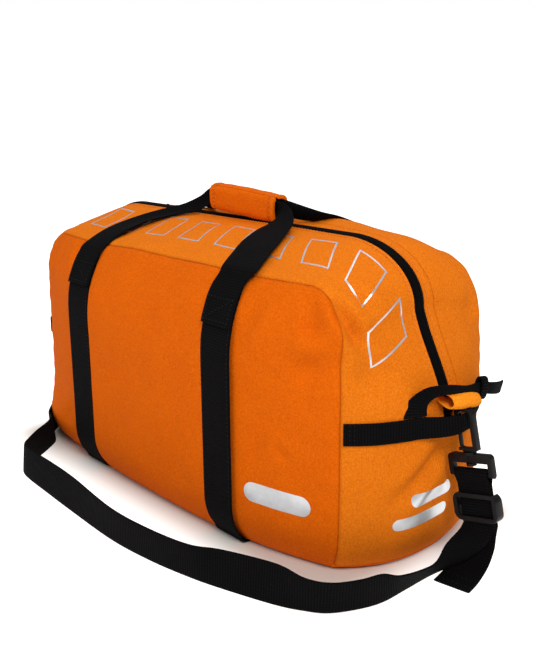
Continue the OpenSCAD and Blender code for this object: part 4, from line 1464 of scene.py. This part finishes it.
@dataclass
class EndStraps:
    """Bands across the ends with a free loop, and the small grab straps over them."""

    cloth: Cloth
    finishes: Finishes
    stitches: Stitches
    band_z: float = 131.0
    band_half: float = 9.5
    loop_out: float = 17.0
    # The hook draws the middle of the band up and gathers it
    pull_up: float = 3.5

    def bands(self) -> None:
        """Band sewn into both seams, standing off in the middle."""
        s = self.cloth.shape
        e = np.linspace(-0.985, 0.985, 90)
        pulled = np.exp(-(e / 0.22) ** 2)
        rows = [self.cloth.above(s.around(s.side_t(self.band_z + self.pull_up * pulled
                                                   + sign * (self.band_half - 2.2 * pulled), e), e),
                                 0.5 + STRAP_T / 2) for sign in (-1.0, 1.0)]
        off = self.loop_out * (1.0 - smooth_step((np.abs(e) - 0.06) / 0.36))
        middle = (rows[0] + rows[1]) / 2 + off[:, None] * [1, 0, 0]
        ribbon = Ribbon(middle, (rows[1] - rows[0]) / 2, np.full(90, STRAP_T))
        end, lift = ribbon.run()[-1], ribbon.lift(0, (1, 0, 0))
        for side in Side:
            ribbon.on(side).dressed(f"{side.label}_band_webbing", self.finishes, "bag",
                                    [f"{side.label}_end_band"])
            for near in (5.0, 9.0, end - 5.0, end - 9.0):
                self.stitches.sew("bag", "dark_thread", ribbon.row_across(near, 0.85, 10, lift) * side.flip)

    def grab_straps(self) -> None:
        """Grab straps with flared feet, gathered over the zip's end, and their free tails."""
        s, t = self.cloth.shape, STRAP_T
        toe = self.band_z + self.band_half + 0.6

        def foot(y: float) -> Array:
            """Place of a strap's foot on the end, above the band."""
            return self.cloth.above(s.end(np.array([y]), np.array([toe])), 0.5 + t / 2)[0]
        strap = Ribbon.through([
            (foot(-38.0), (4, 10, 0), t), ((267.5, -35, 151.5), (5, 7, -1.5), t),
            ((275, -29.5, 160.5), (2, 5.5, -4), 1.4 * t), ((281, -21, 162.8), (0.5, 2, -4.5), 1.7 * t),
            ((283.5, -10, 161.8), (0, 0, -4), 1.8 * t), ((284.5, 9, 157.2), (0, -0.5, -4), 1.8 * t),
            ((284, 25, 155), (0.5, -1, -5), 1.6 * t), ((280, 36, 151), (1, -5, -5), 1.3 * t),
            ((273, 45, 147), (3, -8, -2), t), (foot(52.0), (4.5, -10, 0), t)],
            steps=8, true_half=11.7, cup=0.6)
        tail = Ribbon.through([
            ((285.5, 24, 156.5), (0, 0.5, 5), t), ((287, 38, 153.2), (0.5, 1, 5.3), t),
            ((284, 52, 149.6), (0.5, 1, 5.5), t), ((279, 64, 146.8), (0.5, 1.5, 5.5), t)], steps=8)
        angle = np.linspace(0.3, 0.3 + 2.0 * np.pi, 25)
        wide = np.sign(np.cos(angle)) * np.abs(np.cos(angle)) ** 0.6
        ring = np.stack([284.6 + 3.6 * wide, 26.0 + 1.5 * np.sin(angle), 155.6 + 9.0 * np.sin(angle)], -1)
        keeper = Ribbon(ring, np.tile([0.0, 4.2, -0.6], (25, 1)), np.full(25, t))
        for side in Side:
            for piece, ribbon, nodes in (("grab_webbing", strap, [f"{side.label}_grab_strap"]),
                                         ("grab_tail_webbing", tail, [f"{side.label}_grab_tail"]),
                                         ("grab_keeper_webbing", keeper, [])):
                ribbon.on(side).dressed(f"{side.label}_{piece}", self.finishes, "bag", nodes)


@dataclass
class ShoulderStrap:
    """Clip-on shoulder strap: hooks, frames, adjuster and the strap that lies round the front."""

    finishes: Finishes
    stitches: Stitches
    hook_at: Point = (290.0, 0.0, 131.0)
    lean: float = 13.5
    half_w: float = 16.5
    stand_z: float = 16.3
    bar_at: float = -41.0
    fold_r: float = 4.0
    # Places along the hook's axis where the folded ends stop
    layers_to: float = -84.0
    left_to: float = -65.0
    # The two layers lie this far off the axis, and the strap goes on a hair below them
    layer: float = 1.2
    gap: float = 0.1
    # The left end is sewn in between the layers, pressed thin
    sewn_in: float = 5.0
    sewn_t: float = 0.5
    # The strap parts here into its run on the floor and its left end
    part_at: Point = (-290.0, -38.0, 12.0)

    def axis_point(self, down: float, off: float) -> Array:
        """Point on the right hook's axis, a distance along it and off it towards the front."""
        a = math.radians(self.lean)
        x, _, z = self.hook_at
        return np.array([x - down * math.sin(a), -off, z + down * math.cos(a)])

    def hang(self) -> Array:
        """Half width of a strap that hangs in the hook's plane."""
        a = math.radians(self.lean)
        return self.half_w * np.array([math.cos(a), 0.0, math.sin(a)])

    def stand(self, x: float, y: float, lean: tuple[float, float]) -> Station:
        """Station of the strap standing on its edge on the floor."""
        return (x, y, self.stand_z), (-lean[0], -lean[1], 0.6 - self.stand_z), STRAP_T

    def route(self) -> list[Station]:
        """Stations from the adjuster round the front to the left hook."""
        t, hang, end = STRAP_T, self.hang(), self.axis_point(self.left_to - self.gap, 0.0)
        sewn = self.axis_point(self.left_to + self.sewn_in, 0.0)
        floor = ((285, -92, (3, -4)), (279, -112, (3, -3)), (267, -133, (3, -2)), (250, -144, (1, -1)),
                 (223, -151, (-3, 4)), (177, -168, (-3, 3)), (148, -180, (0, 0)), (102, -189, (0, 0)),
                 (46, -193, (0, 1)), (-34, -188, (0, 4)), (-80, -186, (0, 4)), (-122, -185, (0, 3)),
                 (-141, -183, (0, 2)), (-151, -178, (1, 1)), (-158, -170, (1, 0)), (-172, -152, (-1, 0)),
                 (-188, -130, (-1, 0)), (-202, -116, (-1, -1)), (-220, -110, (0, -1)), (-243, -90, (-2, -2)))
        return [
            (self.axis_point(self.layers_to - self.gap, self.layer), hang, t),
            ((306, -3, 39), (16, -1, 2), t),
            ((301, -10, 28), (8.5, 13, -4), t), ((297, -22, 18), (2, 16, -5), t),
            ((288, -39, 11), (-5, 12.5, -9.5), t), ((288, -71, 14), (-5, 9.5, -12.5), t),
            *(self.stand(*place) for place in floor),
            ((-263, -69, 15), (4, 6, -14.5), t), ((-281, -52, 13.5), (5, 9.5, -12.2), t),
            (self.part_at, (5, 12.5, -9), t), ((-299, -20, 21), (-2, 16, -5), t),
            ((-304, -8, 34), (-9, 13, -3), t), ((-end[0], -1, end[2] - 12), (-16.2, 1, 3), t),
            ((-end[0], 0, end[2]), (-hang[0], 0, hang[2]), t),
            ((-sewn[0], 0, sewn[2]), (-hang[0], 0, hang[2]), self.sewn_t)]

    def sling(self) -> None:
        """The strap itself, its left end piece and its free tail."""
        whole = Ribbon.through(self.route(), steps=8)
        cut = int(np.argmin(np.linalg.norm(whole.centres - np.array(self.part_at), axis=1)))
        main = Ribbon(whole.centres[:cut + 1], whole.halves[:cut + 1], whole.thick[:cut + 1])
        rest = Ribbon(whole.centres[cut:], whole.halves[cut:], whole.thick[cut:])
        tail_run = Ribbon.through([
            (self.axis_point(self.layers_to - self.gap, -self.layer), self.hang(), STRAP_T),
            ((306, 5, 38), (16.2, 0, 3), STRAP_T),
            ((303, 8, 24), (16.3, 0, 2), STRAP_T), ((302, 1, 11), (16.4, 1, 1), STRAP_T),
            ((303, -14, 3.5), (16.3, 2, 0), STRAP_T), ((305, -29.5, 1.3), (16.2, 2.7, 0), STRAP_T)], steps=8)
        strap = main.dressed("shoulder_webbing", self.finishes, None, ["shoulder_strap"])
        left = rest.dressed("shoulder_webbing_left_end", self.finishes)
        tail = tail_run.dressed("shoulder_webbing_tail", self.finishes, None, ["strap_tail"])
        for piece in (strap, tail):
            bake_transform(piece)
        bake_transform(left)
        float(main.run()[-1] * MM)
        end = tail_run.run()[-1]
        lift = tail_run.lift(-1, (0, 0, 1))
        for near in (end - 5.0, end - 14.0):
            self.stitches.sew("bag", "dark_thread", tail_run.row_across(near, 0.88, 12, lift))

    def loops(self) -> None:
        """Strap ends folded round the frame bars."""
        for side, low in ((Side.RIGHT, self.layers_to), (Side.LEFT, self.left_to)):
            arc = [(self.fold_r * math.cos(a), self.bar_at + self.fold_r * math.sin(a))
                   for a in np.linspace(-0.5, math.pi + 0.5, 17)]
            leg = [(self.layer, low), (self.layer, (low + self.bar_at - 9.0) / 2),
                   (1.3, self.bar_at - 10.0), (2.2, self.bar_at - 6.0)]
            path = [*leg, *arc, *((-off, d) for off, d in reversed(leg))]
            ribbon = Ribbon.through([(self.axis_point(d, off), self.hang(), STRAP_T) for off, d in path],
                                    steps=4)
            ribbon.on(side).dressed(f"{side.label}_loop_webbing", self.finishes, f"{side.label}_swivel",
                                    [f"{side.label}_strap_loop"])

    def hardware(self) -> None:
        """Moulded hooks, gates, swivel frames and the adjuster."""
        rows = [row for label in (side.label for side in Side) for row in (
            (f"{label}_hook_moulding", f"{label}_hook", "bag", 1.7),
            (f"{label}_gate_moulding", f"{label}_hook_gate", f"{label}_gate", 0.7),
            (f"{label}_frame_moulding", f"{label}_swivel", f"{label}_swivel", 0.9))]
        rows.append(("adjuster_moulding", "right_adjuster", "adjuster", 0.9))
        for name, node, body, width in rows:
            dress(bevelled_copy(name, node, width), self.finishes.plastic, body, [node])


@dataclass
class Prints:
    """Thin silver reflective marks that follow the cloth."""

    cloth: Cloth
    finishes: Finishes
    proud: float = 0.22
    stroke: float = 1.7
    # The row runs along this share of the gusset, between two places on the arch
    row_share: float = -0.5
    row_span: Pair = (0.86, 4.9)
    wide: float = 30.0
    tall: float = 40.0
    slant: float = 14.0
    pitch: float = 54.0
    end_turn: float = 4.0

    def _patch(self, name: str, grid: Array) -> None:
        """Lay a thin printed patch on the cloth."""
        top, low = self.cloth.above(grid, self.proud), self.cloth.above(grid, -self.proud)
        dress(grid_shell(name, top, low), self.finishes.silver, "bag")

    @staticmethod
    def _bar(centre: Pair, half: Pair, turn: float) -> Array:
        """Grid over a bar with round ends, as flat places.

        Args:
            centre: middle of the bar.
            half: half length and half width.
            turn: angle in degrees.

        Returns:
            Grid of two numbers each.
        """
        long, wide = half
        tip = long - wide * (1 - np.cos(np.linspace(np.pi / 2, 0.05, 9)))
        u = np.concatenate([-tip[::-1], np.linspace(wide - long, long - wide, 16)[1:-1], tip])
        inside = np.maximum(0.0, np.abs(u) - long + wide)
        v = np.sqrt(np.maximum(0.05, wide ** 2 - inside ** 2))[:, None] * np.linspace(-1, 1, 9)[None, :]
        u = u[:, None] + 0.0 * v
        c, s = math.cos(math.radians(turn)), math.sin(math.radians(turn))
        return np.stack([centre[0] + u * c - v * s, centre[1] + u * s + v * c], -1)

    def bars(self) -> None:
        """Plain reflective bars on the front's lower corner and on the right end."""
        s = self.cloth.shape
        flat = self._bar((178.0, 60.0), (33.0, 9.0), 0.0)
        self._patch("front_reflector", s.front(flat[..., 0], flat[..., 1]))
        for name, centre, half in (("upper", (-15.0, 68.0), (24.0, 5.5)),
                                   ("lower", (-25.0, 49.0), (29.0, 5.5))):
            flat = self._bar(centre, half, self.end_turn)
            self._patch(f"end_reflector_{name}", s.end(flat[..., 0], flat[..., 1]))

    def row(self) -> None:
        """Row of slim outlined parallelograms along the front gusset."""
        s = self.cloth.shape
        t = np.linspace(*self.row_span, 800)
        run = run_along(s.around(t, np.full(len(t), self.row_share)))
        wide, slant, up = self.wide, self.slant, self.tall / 2
        shape = np.array([(0.0, -up), (wide, -up), (wide + slant, up), (slant, up)])
        grids = []
        for i in range(int((run[-1] - wide) // self.pitch) + 1):
            corners = shape + [i * self.pitch, 0.0]
            for a, b in zip(corners, np.roll(corners, -1, axis=0)):
                way = (b - a) / np.linalg.norm(b - a)
                side = np.array([-way[1], way[0]]) * self.stroke / 2
                over = way * self.stroke
                path = a - over / 2 + np.linspace(0, 1, 22)[:, None] * (b - a + over)
                flat = path[:, None] + np.array([-1.0, 0.0, 1.0])[None, :, None] * side
                at = np.interp(flat[..., 0], run, t)
                grids.append(s.around(at, self.row_share + s.share(at, flat[..., 1])))
        for i, grid in enumerate(grids):
            self._patch(f"gusset_print_{i:02d}", grid)


# Name, place, size, power in watts and colour of each lamp
LAMPS = (
    ("key", (1.4, -0.75, 1.6), 0.8, 25.5, (1.0, 0.98, 0.95)),
    ("fill", (-0.3, -1.9, 0.45), 1.6, 10.2, (1.0, 0.99, 0.98)),
    ("top", (-0.2, 0.5, 2.2), 1.6, 12.0, (1.0, 1.0, 1.0)),
)


@dataclass
class Studio:
    """Camera, white floor, soft light and white surround."""

    eye: Point = (688.35, -568.87, 395.94)
    yaw: float = 48.53
    pitch: float = 15.38
    roll: float = -0.46
    focal: float = 882.27
    image: tuple[int, int] = (533, 666)
    sensor: float = 36.0
    # The floor clips to white outside the footprint, past the reach of the shadow, in metres
    footprint: Point = (0.235, 0.105, 1.0)
    shadow_reach: Pair = (0.0, 0.062)
    floor_half: float = 6.0
    floor_bounce: Colour = (0.92, 0.9, 0.88, 1.0)
    floor_shade: Colour = (0.66, 0.61, 0.56, 1.0)
    ambient: float = 0.41
    aim: Point = (0.0, 0.0, 0.12)

    def camera(self) -> None:
        """Camera at the photograph's angle."""
        y, p, r = (math.radians(a) for a in (self.yaw, self.pitch, self.roll))
        back = Vector((math.sin(y) * math.cos(p), -math.cos(y) * math.cos(p), math.sin(p)))
        right = Vector((math.cos(y), math.sin(y), 0.0))
        up = back.cross(right)
        across, rise = math.cos(r) * right + math.sin(r) * up, math.cos(r) * up - math.sin(r) * right
        data = bpy.data.cameras.new("view")
        data.sensor_width = self.sensor
        data.lens = self.focal / max(self.image) * self.sensor
        data.clip_start, data.clip_end = 0.05, 50.0
        camera = link("view", data)
        camera.matrix_world = Matrix.Translation(Vector(self.eye) * MM) @ Matrix(
            (across, rise, back)).transposed().to_4x4()
        bpy.context.scene.camera = camera

    @staticmethod
    def _seen(tree: bpy.types.NodeTree, *rays: str) -> Socket:
        """Number that is 1 for the given kinds of ray and 0 for others."""
        path = add_node(tree, "ShaderNodeLightPath")
        seen = path.outputs[f"Is {rays[0]} Ray"]
        for ray in rays[1:]:
            seen = add_node(tree, "ShaderNodeMath", None, {0: seen, 1: path.outputs[f"Is {ray} Ray"]},
                            operation="MAXIMUM").outputs[0]
        return seen

    def floor(self) -> None:
        """Plain white floor that clips to white but keeps the shadow."""
        r = self.floor_half
        mesh = bpy.data.meshes.new("floor")
        mesh.from_pydata([(-r, -r, 0), (r, -r, 0), (r, r, 0), (-r, r, 0)], [], [(0, 1, 2, 3)])
        material, tree = blank_material("white_floor")
        seen = self._seen(tree, "Camera", "Glossy", "Transmission")
        place = add_node(tree, "ShaderNodeTexCoord")
        mirror = add_node(tree, "ShaderNodeVectorMath", None, {0: place.outputs["Object"]},
                          operation="ABSOLUTE")
        past = add_node(tree, "ShaderNodeVectorMath", {1: self.footprint}, {0: mirror.outputs[0]},
                        operation="SUBTRACT")
        outside = add_node(tree, "ShaderNodeVectorMath", {1: (0.0, 0.0, 0.0)}, {0: past.outputs[0]},
                           operation="MAXIMUM")
        away = add_node(tree, "ShaderNodeVectorMath", None, {0: outside.outputs[0]}, operation="LENGTH")
        fade = add_node(tree, "ShaderNodeMapRange", {1: self.shadow_reach[0], 2: self.shadow_reach[1]},
                        {0: away.outputs["Value"]}, interpolation_type="SMOOTHSTEP")
        lift = add_node(tree, "ShaderNodeMath", None, {0: seen, 1: fade.outputs[0]}, operation="MULTIPLY")
        tint = add_node(tree, "ShaderNodeMix", {6: self.floor_bounce, 7: self.floor_shade}, {0: seen},
                        data_type="RGBA")
        plain = add_node(tree, "ShaderNodeBsdfDiffuse", None, {"Color": tint.outputs[2]})
        glow = add_node(tree, "ShaderNodeEmission", None, {"Strength": lift.outputs[0]})
        both = add_node(tree, "ShaderNodeAddShader", None, {0: plain.outputs[0], 1: glow.outputs[0]})
        add_node(tree, "ShaderNodeOutputMaterial", None, {"Surface": both.outputs[0]})
        mesh.materials.append(material)
        link("floor", mesh)

    def lights(self) -> None:
        """Large soft lamps and an even surround."""
        for name, place, size, power, colour in LAMPS:
            data = bpy.data.lights.new(name, "AREA")
            data.size, data.energy, data.color = size, power, colour
            lamp = link(name, data)
            lamp.location = place
            lamp.rotation_euler = (Vector(self.aim) - Vector(place)).to_track_quat("-Z", "Y").to_euler()
        world = bpy.data.worlds.new("surround")
        world.use_nodes = True
        tree = world.node_tree
        tree.nodes.clear()
        seen = self._seen(tree, "Camera", "Transmission")
        level = add_node(tree, "ShaderNodeMapRange", {3: self.ambient, 4: 1.0}, {0: seen})
        sky = add_node(tree, "ShaderNodeBackground", {"Color": (1.0, 1.0, 1.0, 1.0)},
                       {"Strength": level.outputs[0]})
        add_node(tree, "ShaderNodeOutputWorld", None, {"Surface": sky.outputs[0]})
        bpy.context.scene.world = world
        bpy.context.scene.view_settings.view_transform = "Standard"


def main() -> None:
    """Build the holdall and its studio."""
    logging.basicConfig(level=logging.INFO, format="%(name)s %(message)s")
    studio = Studio()
    studio.camera()
    finishes = Finishes.build()
    stitches = Stitches()
    shoulder = ShoulderStrap(finishes, stitches)
    shoulder.sling()
    shoulder.loops()
    shoulder.hardware()
    cloth = Cloth(BagShape())
    shell = Shell(cloth, finishes)
    shell.base()
    shell.panels()
    shell.gussets()
    shell.ends()
    handles = CarryHandles(cloth, finishes, stitches)
    handles.body_straps()
    handles.handles()
    GripWrap(handles, finishes, stitches).build()
    zip_fly = ZipFly(cloth, finishes, stitches)
    zip_fly.tapes()
    zip_fly.sliders()
    zip_fly.tabs()
    straps = EndStraps(cloth, finishes, stitches)
    straps.bands()
    straps.grab_straps()
    prints = Prints(cloth, finishes)
    prints.bars()
    prints.row()
    stitches.build(finishes)
    studio.floor()
    studio.lights()
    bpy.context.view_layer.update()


if __name__ == "__main__":
    main()
